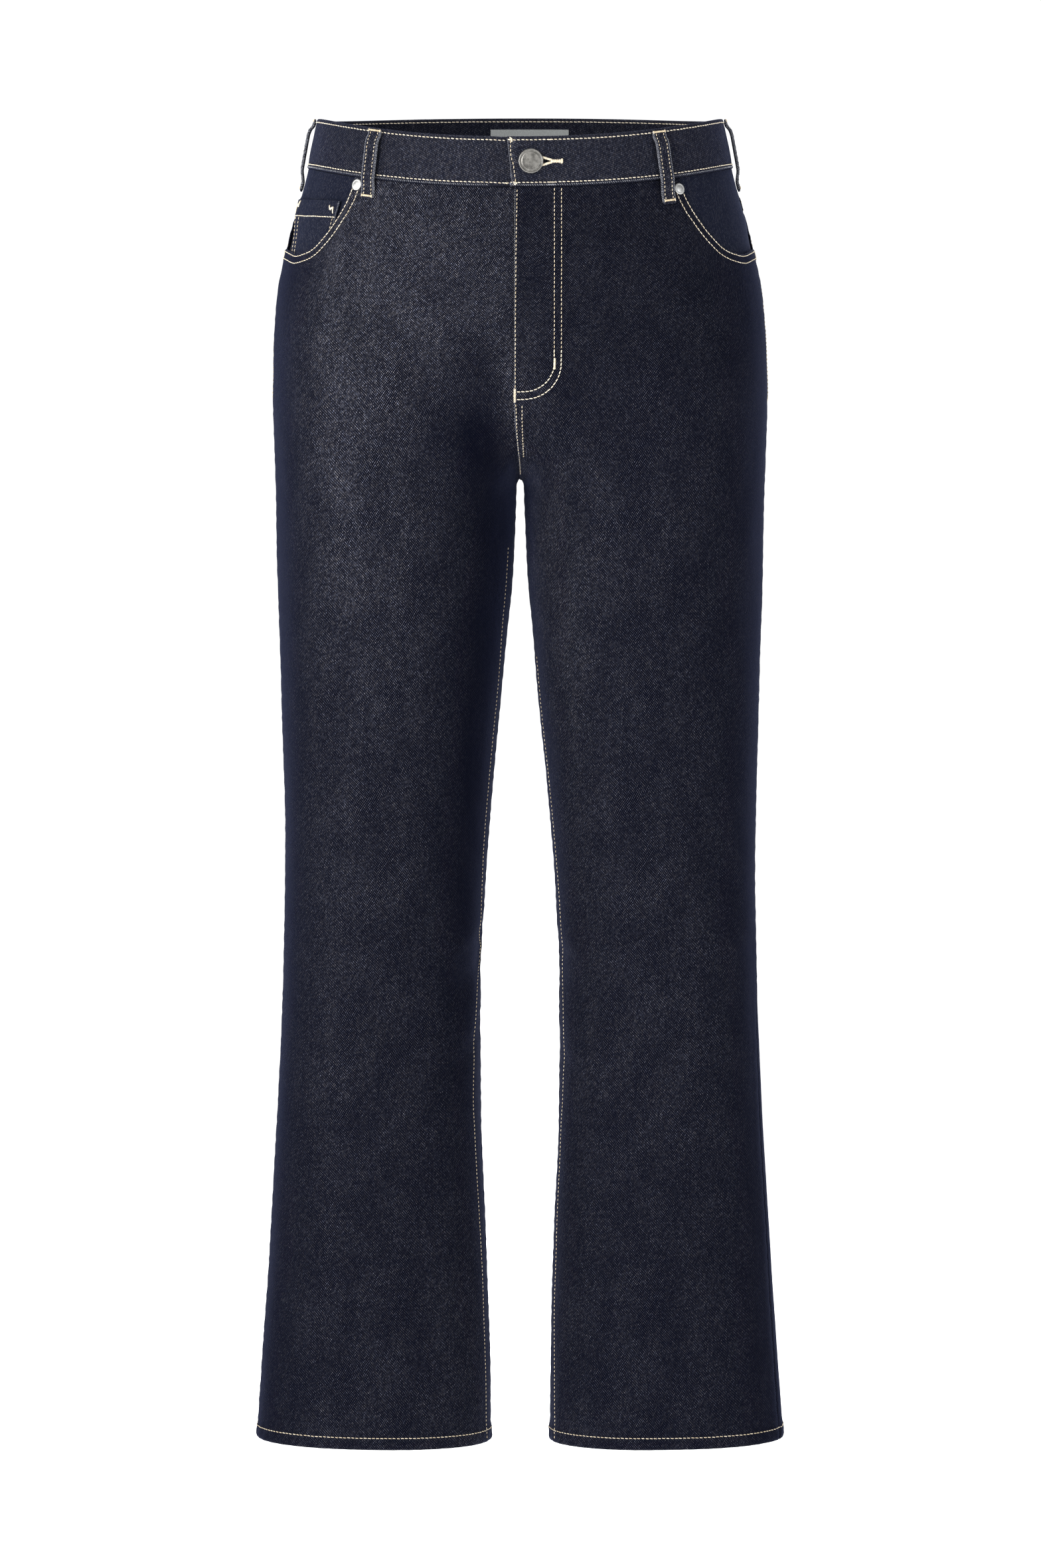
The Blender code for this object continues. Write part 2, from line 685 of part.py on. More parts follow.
def make_loop(name, side, around_top, around_foot, material):
    steps = 9
    rows = []
    for i in range(steps + 1):
        share = i / steps
        drop = mix(LOOP_DROPS[0], LOOP_DROPS[1], share)
        around = mix(around_top, around_foot, share)
        point, across, _, normal = frame_at(side, around, drop)
        centre = point + normal * loop_rise(share, drop)
        half = across * (LOOP_WIDTH / 2.0)
        rows.append([centre - half, centre + half])
    return add_cloth(name, rows, LOOP_CLOTH, side, material)


def make_centre_loop(material):
    """The loop on the back's centre seam."""
    steps = 9
    rows = []
    for i in range(steps + 1):
        share = i / steps
        drop = mix(LOOP_DROPS[0], LOOP_DROPS[1], share)
        seam = (form_point(1, -1.0, drop) + form_point(-1, -1.0, drop)) / 2.0
        centre = seam + Vector((0.0, loop_rise(share, drop), 0.0))
        half = Vector((LOOP_WIDTH / 2.0, 0.0, 0.0))
        rows.append([centre - half, centre + half])
    return add_cloth("belt_loop_back_centre", rows, LOOP_CLOTH, 1, material)


def make_label(material):
    """The plain label inside the back of the waistband, across the centre."""
    columns, heights = 6, 2
    inside = BAND_PROUD - BAND_CLOTH - SEAM_GAP
    rows = []
    for i in range(heights + 1):
        drop = mix(LABEL_DROPS[0], LABEL_DROPS[1], i / heights)
        row = []
        for k in range(columns + 1):
            offset = mix(-LABEL_WIDTH / 2.0, LABEL_WIDTH / 2.0, k / columns)
            side = -1 if offset < 0.0 else 1
            x = CENTRE_SHIFT_ROWS["back"][0] + offset
            row.append(lifted(side, around_at_x(side, x, drop, -1), drop, inside))
        rows.append(row)
    return add_cloth("waist_label", rows, LABEL_CLOTH, 1, material)


# ---------------------------------------------------------------- zip and hardware

def make_zip(material):
    """The closed zip behind the fly: two tapes and the chain, parted above for the slider."""
    steps = 10
    drops = [ZIP_DROPS[0], ZIP_TONGUE_DROP]
    drops += [mix(ZIP_TONGUE_DROP, ZIP_DROPS[1], (k + 1) / steps) for k in range(steps)]
    rows = []
    for i, drop in enumerate(drops):
        row = []
        for offset, lift, _ in ZIP_ROWS:
            centre = form_point(-1, 1.0, drop).x
            side = 1 if offset > 0.0 else -1
            spread = offset + side * 0.0030 if i == 0 and abs(offset) < 0.006 else offset
            row.append(lifted(side, around_at_x(side, centre + spread, drop), drop, lift))
        rows.append(row)
    middle = len(ZIP_ROWS) // 2 - 1
    return add_cloth(
        "zip", rows, CHAIN_THICKNESS, -1, material,
        thick=lambda i, k: ZIP_ROWS[k][2], thin_share=TAPE_THICKNESS / CHAIN_THICKNESS,
        skip=lambda i, k: i == 0 and middle - 1 <= k <= middle + 1,
    )


def add_box(name, size, centre, place, material):
    x, y, z = (value / 2.0 for value in size)
    points = [
        (centre[0] + a * x, centre[1] + b * y, centre[2] + c * z)
        for a in (-1, 1) for b in (-1, 1) for c in (-1, 1)
    ]
    faces = [(0, 1, 3, 2), (4, 6, 7, 5), (0, 4, 5, 1), (2, 3, 7, 6), (0, 2, 6, 4), (1, 5, 7, 3)]
    item = add_mesh(name, points, faces, material)
    item.matrix_world = place
    return item


def make_slider(material):
    """The slider at the top of the chain, with its tab hanging down the chain's front."""
    wide, thick, tall = SLIDER_SIZE
    drop = ZIP_TONGUE_DROP - SEAM_GAP - tall / 2.0
    centre_x = form_point(-1, 1.0, drop).x
    place = place_on_cloth(1, around_at_x(1, centre_x + 0.0003, drop), drop, SLIDER_FRONT_LIFT)
    body = add_box("zip_slider", (wide, tall, thick), (0.0, 0.0, -thick / 2.0), place, material)
    edge = body.modifiers.new("edge", "BEVEL")
    edge.width = 0.0008
    edge.segments = 2
    lug = add_box("slider_lug", (0.0036, 0.0050, 0.0020), (0.0, 0.0, 0.0), place, material)
    tab_x, tab_thick, tab_long = TAB_SIZE
    tab = add_box(
        "slider_tab", (tab_x, tab_long, tab_thick), (0.0, 0.0015 - tab_long / 2.0, 0.0006), place, material
    )
    for guide in (lug, tab):
        guide.hide_render = True
        guide.display_type = "WIRE"
        joined = body.modifiers.new(guide.name, "BOOLEAN")
        joined.operation = "UNION"
        joined.solver = "EXACT"
        joined.object = guide
    return body


# ---------------------------------------------------------------- the whole garment

def build():
    clear_scene()
    denim = finish("denim", (0.020, 0.022, 0.040), 0.85)
    denim_band = finish("denim_band", (0.026, 0.028, 0.050), 0.85)
    denim_facing = finish("denim_facing", (0.030, 0.033, 0.058), 0.75)
    steel = finish("aged_steel", (0.42, 0.41, 0.40), 0.38, 0.95)
    tape = finish("zip_tape", (0.03, 0.03, 0.05), 0.8)
    label = finish("label_cloth", (0.16, 0.16, 0.18), 0.8)
    for word, side in (("right", -1), ("left", 1)):
        make_panel(f"front_{word}", side, "front", mouth_line, MOUTH_SETTLES, denim)
        make_panel(f"back_{word}", side, "back", yoke_line, YOKE_SETTLES, denim)
        make_yoke(f"yoke_{word}", side, denim)
        make_back_pocket(f"back_pocket_{word}", side, denim)
        make_facing(f"pocket_facing_{word}", side, denim_facing)
    make_coin_pocket(denim_facing)
    make_waistband(denim_band)
    for name, side, around_top, around_foot in LOOP_ROWS:
        make_loop(name, side, around_top, around_foot, denim_band)
    make_centre_loop(denim_band)
    make_label(label)
    make_zip(tape)
    make_slider(steel)
    add_turned("button", BUTTON_PROFILE, 24, button_place(), steel)
    for name, side, around, drop in RIVET_ROWS:
        add_turned(name, RIVET_PROFILE, 16, place_on_cloth(side, around, drop, 0.0), steel)


build()
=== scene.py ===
"""Looks of the straight leg jeans: dark denim, cream sewing, aged metal trims.

Metres, +Z up. The front faces -Y and the wearer's left leg is at +X. A place on the cloth is given by
the side (+1 is the wearer's left), how far around that side it lies (0 at the side seam, 1 at the
front's centre seam or the inseam, -1 at the back's) and its drop below the waistband's top edge.
"""

import math
import random

import bpy
import numpy as np
from mathutils import Matrix, Vector, noise
from mathutils.bvhtree import BVHTree


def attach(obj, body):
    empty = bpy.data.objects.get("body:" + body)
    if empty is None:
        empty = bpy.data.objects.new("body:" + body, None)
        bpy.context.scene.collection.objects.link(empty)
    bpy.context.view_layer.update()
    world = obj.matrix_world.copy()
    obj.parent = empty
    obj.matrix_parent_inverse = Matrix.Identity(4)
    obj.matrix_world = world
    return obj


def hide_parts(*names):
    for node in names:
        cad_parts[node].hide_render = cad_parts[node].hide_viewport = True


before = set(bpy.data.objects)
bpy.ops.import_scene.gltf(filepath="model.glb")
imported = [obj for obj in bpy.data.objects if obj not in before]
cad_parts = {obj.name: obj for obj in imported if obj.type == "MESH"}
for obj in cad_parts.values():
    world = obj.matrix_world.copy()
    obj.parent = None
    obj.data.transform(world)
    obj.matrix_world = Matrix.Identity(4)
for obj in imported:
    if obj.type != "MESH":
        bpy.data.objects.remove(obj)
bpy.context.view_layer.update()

# ---- cloth and gaps
CLOTH = 0.0012
SEAM_GAP = 0.0003
LAY_GAP = 0.0004

# ---- levels, as drops below the waistband's top edge
BAND_DROP = 0.0405
CROTCH_DROP = 0.2952
HEM_DROP = 1.0890
HEM_DEPTH = 0.0115

# ---- length along the cloth from side seam to centre, for the tables that lie on it
QUARTER_GIRTH = 0.25

# ---- the form: how far the side seams, the front and the back lie from the middle
# drop; half width at the side seam
OUTER_ROWS = (
    (0.000, 0.1651), (0.041, 0.1737), (0.066, 0.1802), (0.088, 0.1868), (0.110, 0.1920),
    (0.143, 0.1986), (0.187, 0.2019), (0.231, 0.2030), (0.275, 0.2017), (0.319, 0.2005),
    (0.374, 0.1995), (0.484, 0.1965), (0.594, 0.1937), (0.704, 0.1956), (0.814, 0.2004),
    (0.924, 0.2073), (1.034, 0.2153), (1.089, 0.2187),
)
# drop; half gap between the legs
INNER_ROWS = (
    (0.2952, 0.0034), (0.3155, 0.0038), (0.370, 0.0061), (0.425, 0.0113), (0.480, 0.0162),
    (0.535, 0.0217), (0.590, 0.0264), (0.645, 0.0300), (0.700, 0.0322), (0.755, 0.0327),
    (0.811, 0.0323), (0.922, 0.0287), (1.034, 0.0254), (1.089, 0.0243),
)
# drop; reach to the front; reach to the back
DEPTH_ROWS = (
    (0.000, 0.118, 0.112), (0.041, 0.122, 0.121), (0.100, 0.132, 0.137), (0.200, 0.129, 0.157),
    (0.250, 0.122, 0.152), (0.295, 0.115, 0.139), (0.374, 0.108, 0.120), (0.484, 0.098, 0.100),
    (0.650, 0.084, 0.078), (0.760, 0.077, 0.075), (0.870, 0.071, 0.073), (1.089, 0.062, 0.065),
)
LEG_ROUNDNESS = 2.2
TORSO_ROUNDNESS = 2.25
CREASE_SHIFT = 0.004
HIPS_BLEND = (0.100, 0.235)

# ---- the crotch
FORK_Y = 0.005
# face; height of the U; share of the reach at its top
CROTCH_ROWS = {"front": (0.085, 0.97), "back": (0.120, 0.93)}
ARCH_DROP = 0.006
CROTCH_SOFTNESS = 0.090

# ---- lean of the edges
WAIST_DIP_FRONT = 0.0200
WAIST_RISE_BACK = 0.0075
WAIST_DIP_FADE = (0.050, 0.220)
# face; shift to the wearer's left; from the drop where it fades; to
CENTRE_SHIFT_ROWS = {"front": (-0.0047, 0.236, 0.293), "back": (0.0080, 0.200, 0.290)}
CENTRE_SHIFT_REACH = 0.150
HEM_SLANT = 0.0033
HEM_SLANT_FADE = (1.000, 1.089)
LEFT_OUTSEAM_SWING = 0.10
OUTSEAM_SWING_FADE = (0.560, 0.820)

# ---- the largest folds, each a straight trough or, with a negative depth, a ridge
# side; from around; from drop; to around; to drop; half width; depth
FOLD_ROWS = (
    (-1, 0.86, 0.262, 0.58, 0.212, 0.016, 0.0030), (-1, 0.80, 0.330, 0.45, 0.262, 0.022, 0.0024),
    (1, 0.86, 0.270, 0.60, 0.226, 0.015, 0.0024), (1, 0.78, 0.345, 0.44, 0.300, 0.022, 0.0020),
    (-1, 0.95, 0.690, 0.55, 0.740, 0.018, 0.0032), (-1, 0.55, 0.740, 0.40, 0.860, 0.020, 0.0022),
    (1, 0.92, 0.700, 0.60, 0.735, 0.020, 0.0020), (1, 0.45, 0.780, 0.36, 0.930, 0.024, 0.0016),
    (-1, 0.42, 0.420, 0.30, 0.620, 0.030, 0.0018), (1, 0.40, 0.440, 0.34, 0.640, 0.030, 0.0016),
    (-1, -0.88, 0.345, -0.35, 0.300, 0.018, 0.0034), (1, -0.86, 0.352, -0.38, 0.312, 0.018, 0.0030),
    (-1, -0.90, 0.700, -0.20, 0.668, 0.018, 0.0036), (1, -0.88, 0.712, -0.24, 0.690, 0.019, 0.0032),
    (-1, -0.80, 0.742, -0.40, 0.770, 0.016, 0.0022), (1, -0.76, 0.760, -0.42, 0.735, 0.016, 0.0020),
)

# ---- smaller creases that only the looks have, in the same columns
CREASE_ROWS = (
    (-1, 0.97, 0.236, 0.72, 0.196, 0.007, 0.0011), (-1, 0.96, 0.290, 0.74, 0.268, 0.008, 0.0012),
    (1, 0.95, 0.246, 0.76, 0.214, 0.007, 0.0009), (1, 0.96, 0.292, 0.72, 0.280, 0.008, 0.0010),
    (1, 0.97, 0.120, 0.80, 0.150, 0.006, 0.0008), (-1, 0.99, 0.664, 0.80, 0.686, 0.008, 0.0010),
    (-1, 0.98, 0.742, 0.70, 0.786, 0.009, 0.0012), (-1, 0.30, 0.640, 0.10, 0.668, 0.009, 0.0009),
    (1, 0.99, 0.676, 0.82, 0.690, 0.008, 0.0008), (1, 0.32, 0.652, 0.12, 0.676, 0.009, 0.0008),
    (1, 0.97, 0.760, 0.72, 0.800, 0.010, 0.0009), (-1, -0.98, 0.262, -0.70, 0.236, 0.008, 0.0012),
    (1, -0.97, 0.270, -0.72, 0.240, 0.008, 0.0011), (-1, -0.60, 0.330, -0.20, 0.348, 0.010, 0.0012),
    (1, -0.58, 0.336, -0.22, 0.352, 0.010, 0.0011), (-1, -0.96, 0.664, -0.62, 0.640, 0.008, 0.0012),
    (1, -0.95, 0.680, -0.60, 0.660, 0.008, 0.0010), (-1, -0.30, 0.700, -0.06, 0.720, 0.009, 0.0010),
    (1, -0.34, 0.716, -0.08, 0.738, 0.009, 0.0009), (-1, -0.50, 0.860, -0.40, 0.980, 0.014, 0.0010),
    (1, -0.48, 0.880, -0.42, 1.010, 0.014, 0.0010),
)

# ---- pieces, as they are cut
EDGE_SHARE = 0.0006
PANEL_SHARES = (
    0.0, 0.055, 0.115, 0.175, 0.235, 0.290, 0.330, 0.362, 0.388, 0.480, 0.580, 0.680, 0.785, 0.890, 1.0,
)
SHARE_PARTS = 5
GRAIN_X = 0.105
# around; drop of the pocket's mouth
MOUTH_ROWS = (
    (0.000, 0.1056), (0.100, 0.1076), (0.170, 0.1094), (0.230, 0.1063), (0.265, 0.1023),
    (0.300, 0.0938), (0.325, 0.0854), (0.350, 0.0731), (0.373, 0.0583), (0.388, 0.0408),
)
MOUTH_SHIFT = 0.012
MOUTH_SEWN_TO = 0.381
MOUTH_SETTLES = 0.160
YOKE_SIDE = 0.035
YOKE_CENTRE = 0.070
YOKE_SETTLES = 0.190
YOKE_LENGTH = 0.20

BAND_CLOTH = 0.0030
BAND_PROUD = 0.0010
LAP_UNDER_X = 0.030
LAP_RAMP_X = (-0.0120, -0.0260)
LAP_END_X = (-0.0105, -0.0065)

COIN_GAP = 0.0007
COIN_SINK = CLOTH + COIN_GAP
FACING_SINK = {1: CLOTH + COIN_GAP, -1: COIN_SINK + CLOTH + LAY_GAP}
FACING_DROP = 0.205
FACING_SHARE = 0.50
# drop at the outer side; drop at the inner side; around, outer; around, inner
COIN_ROWS = ((0.0660, 0.0614, 0.045, 0.327), (0.1541, 0.1521, 0.150, 0.312))
COIN_WIDTH = 0.066
COIN_DEPTH = 0.090
COIN_TACKS = (
    ((0.845, 0.045), (0.868, 0.085), (0.920, 0.062), (0.938, 0.118)),
    ((0.120, 0.015), (0.095, 0.070), (0.060, 0.045), (0.030, 0.130)),
)

POCKET_FROM_SIDE = 0.019
POCKET_TOP_WIDTH = 0.155
POCKET_FOOT_WIDTH = 0.133
POCKET_SIDE_DEPTH = 0.132
POCKET_POINT_DEPTH = 0.026
POCKET_TOP_DROP = 0.092
POCKET_LEAN = 0.105
POCKET_CLOTH = 0.0012
POCKET_GAP = 0.0003

LOOP_WIDTH = 0.0115
LOOP_CLOTH = 0.0023
# share of the loop's length; gap behind it
LOOP_GAP_ROWS = (
    (0.00, 0.0000), (0.08, 0.0002), (0.16, 0.0025), (0.24, 0.0031), (0.45, 0.0029),
    (0.68, 0.0024), (0.80, 0.0013), (0.88, 0.0001), (1.00, 0.0000),
)
# name; side; around at its top; around at its foot; drop of its top; of its foot
LOOP_ROWS = (
    ("belt_loop_front_right", -1, 0.4435, 0.4480, 0.0012, 0.0574),
    ("belt_loop_front_left", 1, 0.4620, 0.4600, 0.0018, 0.0610),
    ("belt_loop_side_right", -1, 0.000, 0.000, 0.0006, 0.0592),
    ("belt_loop_side_left", 1, 0.000, 0.000, 0.0006, 0.0592),
    ("belt_loop_back_right", -1, -0.584, -0.584, 0.0006, 0.0592),
    ("belt_loop_back_left", 1, -0.478, -0.478, 0.0008, 0.0590),
    ("belt_loop_back_centre", 1, -1.000, -1.000, 0.0005, 0.0592),
)

# from x and drop; to x and drop; thread radius
LAP_KNOTS = (
    (((-0.0085, 0.0010), (-0.0064, 0.0024)), 0.00045), (((-0.0066, 0.0016), (-0.0066, 0.0050)), 0.00045),
    (((-0.0100, 0.0030), (-0.0072, 0.0024)), 0.00045), (((-0.0044, 0.0392), (-0.0022, 0.0372)), 0.00050),
    (((-0.0044, 0.0392), (-0.0052, 0.0362)), 0.00045), (((-0.0122, 0.0369), (-0.0098, 0.0378)), 0.00055),
)
BUTTON_X = 0.0085
BUTTONHOLE_EYE = 0.0033
BUTTONHOLE_WAIST = 0.0085
BUTTONHOLE_HALF = 0.0027
BUTTONHOLE_END = 0.0165
BUTTONHOLE_BAR_TO = 0.0252
# name; side; around; drop
RIVET_ROWS = (("rivet_right", -1, 0.394, 0.0470), ("rivet_left", 1, 0.411, 0.0499))
RIVET_LIFT = 0.0004
LABEL_WIDTH = 0.066
LABEL_DROPS = (0.0090, 0.0385)
LABEL_CLOTH = 0.0006

# ---- sewing
STITCH_PITCH = 0.0034
THREAD_RADIUS = 0.00040
STITCH_SLANT = 0.00013
STITCH_WOBBLE = 0.00009

# ---- the fly: its topstitched J, as x from the middle and drop
J_INNER_X = 0.0273
J_OUTER_X = 0.0329
J_INNER_FOOT = 0.2235
J_OUTER_FOOT = 0.2296
J_CORNER = 0.0290
# drop; x
FLY_EDGE = ((0.0430, -0.0040), (0.1150, -0.0043), (0.2360, -0.0044), (0.2600, -0.0030), (0.2860, -0.0003))
FLY_ROWS = (
    ((0.0430, -0.0024), (0.0780, -0.0030), (0.1150, -0.0034), (0.2050, -0.0038), (0.2280, -0.0038)),
    ((0.2335, -0.0035), (0.2500, -0.0028), (0.2700, -0.0016), (0.2905, -0.0003)),
    ((0.2350, 0.0014), (0.2550, 0.0019), (0.2760, 0.0029)),
)

SIDES = ((-1, "right"), (1, "left"))
WORDS = dict(SIDES)

made = {}


# ======== plain mathematics

def smoothstep(low, high, value):
    share = min(1.0, max(0.0, (value - low) / (high - low)))
    return share * share * (3.0 - 2.0 * share)


def fade(low, high, value):
    """One up to low, none from high on."""
    return 1.0 - smoothstep(low, high, value)


def hump(value, width):
    """A bell curve: one where the value is none, next to nothing past two widths."""
    return math.exp(-(value / width) ** 2)


def unevenness(x, y, z):
    return noise.noise(Vector((x, y, z)))


def mix(a, b, share):
    return a + (b - a) * share


def spread(start, end, parts):
    """Evenly spaced values from start to end, both included."""
    return [mix(start, end, k / parts) for k in range(parts + 1)]


def slope_at(rows, column, i):
    """The slope of a table's curve at its row i, flat wherever the values turn."""
    def rise(k):
        return (rows[k + 1][column] - rows[k][column]) / (rows[k + 1][0] - rows[k][0])
    if i == 0:
        return rise(0)
    if i == len(rows) - 1:
        return rise(i - 1)
    before, after = rise(i - 1), rise(i)
    if before * after <= 0.0:
        return 0.0
    return 2.0 * before * after / (before + after)


def read_table(rows, column, drop):
    """The value in a column at a drop, on a smooth curve through the rows that never overshoots."""
    if drop <= rows[0][0]:
        return rows[0][column]
    if drop >= rows[-1][0]:
        return rows[-1][column]
    i = max(k for k in range(len(rows) - 1) if rows[k][0] <= drop)
    length = rows[i + 1][0] - rows[i][0]
    t = (drop - rows[i][0]) / length
    start, end = rows[i][column], rows[i + 1][column]
    leave, arrive = slope_at(rows, column, i) * length, slope_at(rows, column, i + 1) * length
    return (
        start * (2 * t**3 - 3 * t**2 + 1) + leave * (t**3 - 2 * t**2 + t)
        + end * (3 * t**2 - 2 * t**3) + arrive * (t**3 - t**2)
    )


# ======== the form of the cloth

def reach(face, drop):
    """Signed y of the cloth's furthest point on a face."""
    if face == "front":
        return -read_table(DEPTH_ROWS, 1, drop)
    return read_table(DEPTH_ROWS, 2, drop)


def arch_share(drop):
    """How far the gap between the legs has opened at the inseam: 0 at the fork and 1 below the arch."""
    below = min(1.0, max(0.0, (drop - CROTCH_DROP) / ARCH_DROP))
    return math.sqrt(1.0 - (1.0 - below) ** 2)


def inner_plan(face, share, drop, crease, gap):
    """x and y between the crease line and the inseam or centre seam."""
    height, top_share = CROTCH_ROWS[face]
    arch = arch_share(drop)
    x = crease - (crease - gap * arch) * abs(math.cos(share * math.pi)) ** (2.0 / LEG_ROUNDNESS)
    rounded = math.sqrt(x * x + gap * gap * (1.0 - arch * arch))
    inwards = min(1.0, (crease - rounded) / (crease - gap))
    above = CROTCH_DROP - drop
    softness = CROTCH_SOFTNESS * (1.0 - inwards)
    climb = min(1.0, (above + math.hypot(above, softness)) / 2.0 / height)
    run = max(0.0, 1.0 - (inwards * (1.0 - climb)) ** LEG_ROUNDNESS) ** (1.0 / LEG_ROUNDNESS)
    far = reach(face, drop) * (1.0 - (1.0 - top_share) * inwards**2 * climb)
    return x, FORK_Y + (far - FORK_Y) * run


def leg_plan(face, share, drop):
    """x and y on one leg: two round arcs that meet on the crease line, where the share is a half."""
    outer = read_table(OUTER_ROWS, 1, drop)
    gap = read_table(INNER_ROWS, 1, drop)
    crease = (outer + gap) / 2.0 + CREASE_SHIFT
    if share > 0.5:
        return inner_plan(face, share, drop, crease, gap)
    power = 2.0 / LEG_ROUNDNESS
    along = abs(math.cos(share * math.pi)) ** power
    out = max(0.0, math.sin(share * math.pi)) ** power
    return crease + (outer - crease) * along, reach(face, drop) * out


def torso_plan(face, share, drop):
    """x and y on one quarter of the hips, a single round arc from side seam to centre."""
    angle = share * (1.4 - 0.4 * share) * math.pi / 2.0
    power = 2.0 / TORSO_ROUNDNESS
    x = read_table(OUTER_ROWS, 1, drop) * max(0.0, math.cos(angle)) ** power
    y = reach(face, drop) * math.sin(angle) ** power
    return x, y


def trough_depth(rows, side, around, drop):
    """How far the folds or creases of a table push the cloth in at a place."""
    depth = 0.0
    for row_side, around_a, drop_a, around_b, drop_b, half_width, row_depth in rows:
        if row_side != side:
            continue
        along_x, along_y = (around_b - around_a) * QUARTER_GIRTH, drop_b - drop_a
        x, y = (around - around_a) * QUARTER_GIRTH, drop - drop_a
        share = (x * along_x + y * along_y) / (along_x**2 + along_y**2)
        held = min(1.0, max(0.0, share))
        away = math.hypot(x - along_x * held, y - along_y * held) / half_width
        if away < 3.0:
            depth += row_depth * math.exp(-away * away)
    return depth


def form_point(side, around, drop):
    """The outer surface of the cloth at a place."""
    face = "front" if around >= 0.0 else "back"
    share = min(1.0, abs(around))
    torso = fade(*HIPS_BLEND, drop)
    x, y = leg_plan(face, share, drop) if torso < 1.0 else (0.0, 0.0)
    if torso > 0.0:
        torso_x, torso_y = torso_plan(face, share, drop)
        x, y = mix(x, torso_x, torso), mix(y, torso_y, torso)
    outer = read_table(OUTER_ROWS, 1, drop)
    gap = read_table(INNER_ROWS, 1, drop)
    far = reach(face, drop)
    axis_x = mix((outer + gap) / 2.0, 0.0, torso)
    away = Vector((x - axis_x, y))
    if away.length > 0.0:
        pushed = away.normalized() * trough_depth(FOLD_ROWS, side, around, drop)
        x, y = x - pushed.x, y - pushed.y
    dip = -WAIST_DIP_FRONT if face == "front" else WAIST_RISE_BACK
    z = -drop + dip * (y / far) ** 2 * fade(*WAIST_DIP_FADE, drop)
    inwards = (outer - x) / (outer - gap)
    z -= HEM_SLANT * inwards * smoothstep(*HEM_SLANT_FADE, drop)
    shift, fade_from, fade_to = CENTRE_SHIFT_ROWS[face]
    shift *= fade(0.0, CENTRE_SHIFT_REACH, x) * fade(fade_from, fade_to, drop)
    return Vector((side * (x + SEAM_GAP / 2.0) + shift, y, z))


def frame_at(side, around, drop):
    """The point, the unit vector around the body, the one down it, and the outward normal."""
    step_around, step_drop = 0.004, 0.002
    ahead = form_point(side, min(1.0, around + step_around), drop)
    behind = form_point(side, max(-1.0, around - step_around), drop)
    below = form_point(side, around, drop + step_drop)
    above = form_point(side, around, max(0.0, drop - step_drop))
    across = (ahead - behind).normalized()
    down = (below - above).normalized()
    normal = (across.cross(down) * side).normalized()
    return form_point(side, around, drop), across, down, normal


def lifted(side, around, drop, lift):
    """A place on the cloth moved out from it by the lift, or in if that is negative."""
    point, _, _, normal = frame_at(side, around, drop)
    return point + normal * lift


def around_at_x(side, x, drop, direction=1):
    """How far around the front, or the back where the direction is -1, a given x lies."""
    low, high = 0.3, 1.0
    for _ in range(22):
        middle = (low + high) / 2.0
        if side * (form_point(side, direction * middle, drop).x - x) > 0.0:
            low = middle
        else:
            high = middle
    return direction * (low + high) / 2.0


def around_along(side, start, step, end, length, drop):
    """How far around a place lies at a length along the cloth from start, going by steps towards end."""
    around, gone = start, 0.0
    here = form_point(side, around, drop)
    while (end - around) * step > 0.0:
        there = form_point(side, around + step, drop)
        stride = (there - here).length
        if gone + stride >= length:
            return around + step * (length - gone) / stride
        around, gone, here = around + step, gone + stride, there
    return end


def around_at_length(side, face, length, drop):
    """How far around a face lies at a length measured from the side seam along the cloth."""
    direction = 1.0 if face == "front" else -1.0
    return around_along(side, 0.0, 0.01 * direction, direction, length, drop)


def around_beside(side, distance, drop, direction=1):
    """How far around a place lies at a distance along the cloth from the centre seam or inseam."""
    return around_along(side, direction, -0.004 * direction, 0.3 * direction, distance, drop)


def outseam(side, drop):
    """How far the side seam has swung forward around the leg."""
    swing = LEFT_OUTSEAM_SWING if side > 0 else 0.0
    return swing * smoothstep(*OUTSEAM_SWING_FADE, drop)


def around_of(side, face, share, drop):
    """How far around a share of a face lies, counted from the side seam wherever that has swung to."""
    return mix(outseam(side, drop), 1.0 if face == "front" else -1.0, share)


def mouth_line(side, share):
    """Drop of the front panel's top edge: the pocket's mouth, then the waistband's seam."""
    corner = MOUTH_ROWS[-1][0]
    share -= side * MOUTH_SHIFT * math.sin(math.pi * share) ** 2
    if share >= corner - 0.0005:
        return BAND_DROP + SEAM_GAP
    return read_table(MOUTH_ROWS, 1, share)


def yoke_line(side, share):
    """Drop of the seam between yoke and back panel."""
    return BAND_DROP + mix(YOKE_SIDE, YOKE_CENTRE, share)


# ======== node helpers

def new_material(name, roughness, metallic=0.0, specular=0.25):
    material = bpy.data.materials.new(name)
    material.use_nodes = True
    shader = material.node_tree.nodes["Principled BSDF"]
    for key, value in (("Roughness", roughness), ("Metallic", metallic), ("Specular IOR Level", specular)):
        shader.inputs[key].default_value = value
    return material, material.node_tree, shader


def node(tree, kind, **values):
    item = tree.nodes.new(kind)
    for key, value in values.items():
        setattr(item, key, value)
    return item


def plug(tree, socket, value):
    """Gives a socket a number, a colour or the output of another node."""
    if isinstance(value, (int, float)):
        socket.default_value = value
    elif isinstance(value, tuple):
        socket.default_value = (*value, 1.0)
    elif value is not None:
        tree.links.new(value, socket)


def math_node(tree, operation, a, b=None, c=None):
    item = node(tree, "ShaderNodeMath", operation=operation)
    for socket, value in zip(item.inputs, (a, b, c)):
        plug(tree, socket, value)
    return item.outputs[0]


def times(tree, a, b, plus=None):
    """A product, with a sum on it where plus is given."""
    return math_node(tree, "MULTIPLY" if plus is None else "MULTIPLY_ADD", a, b, plus)


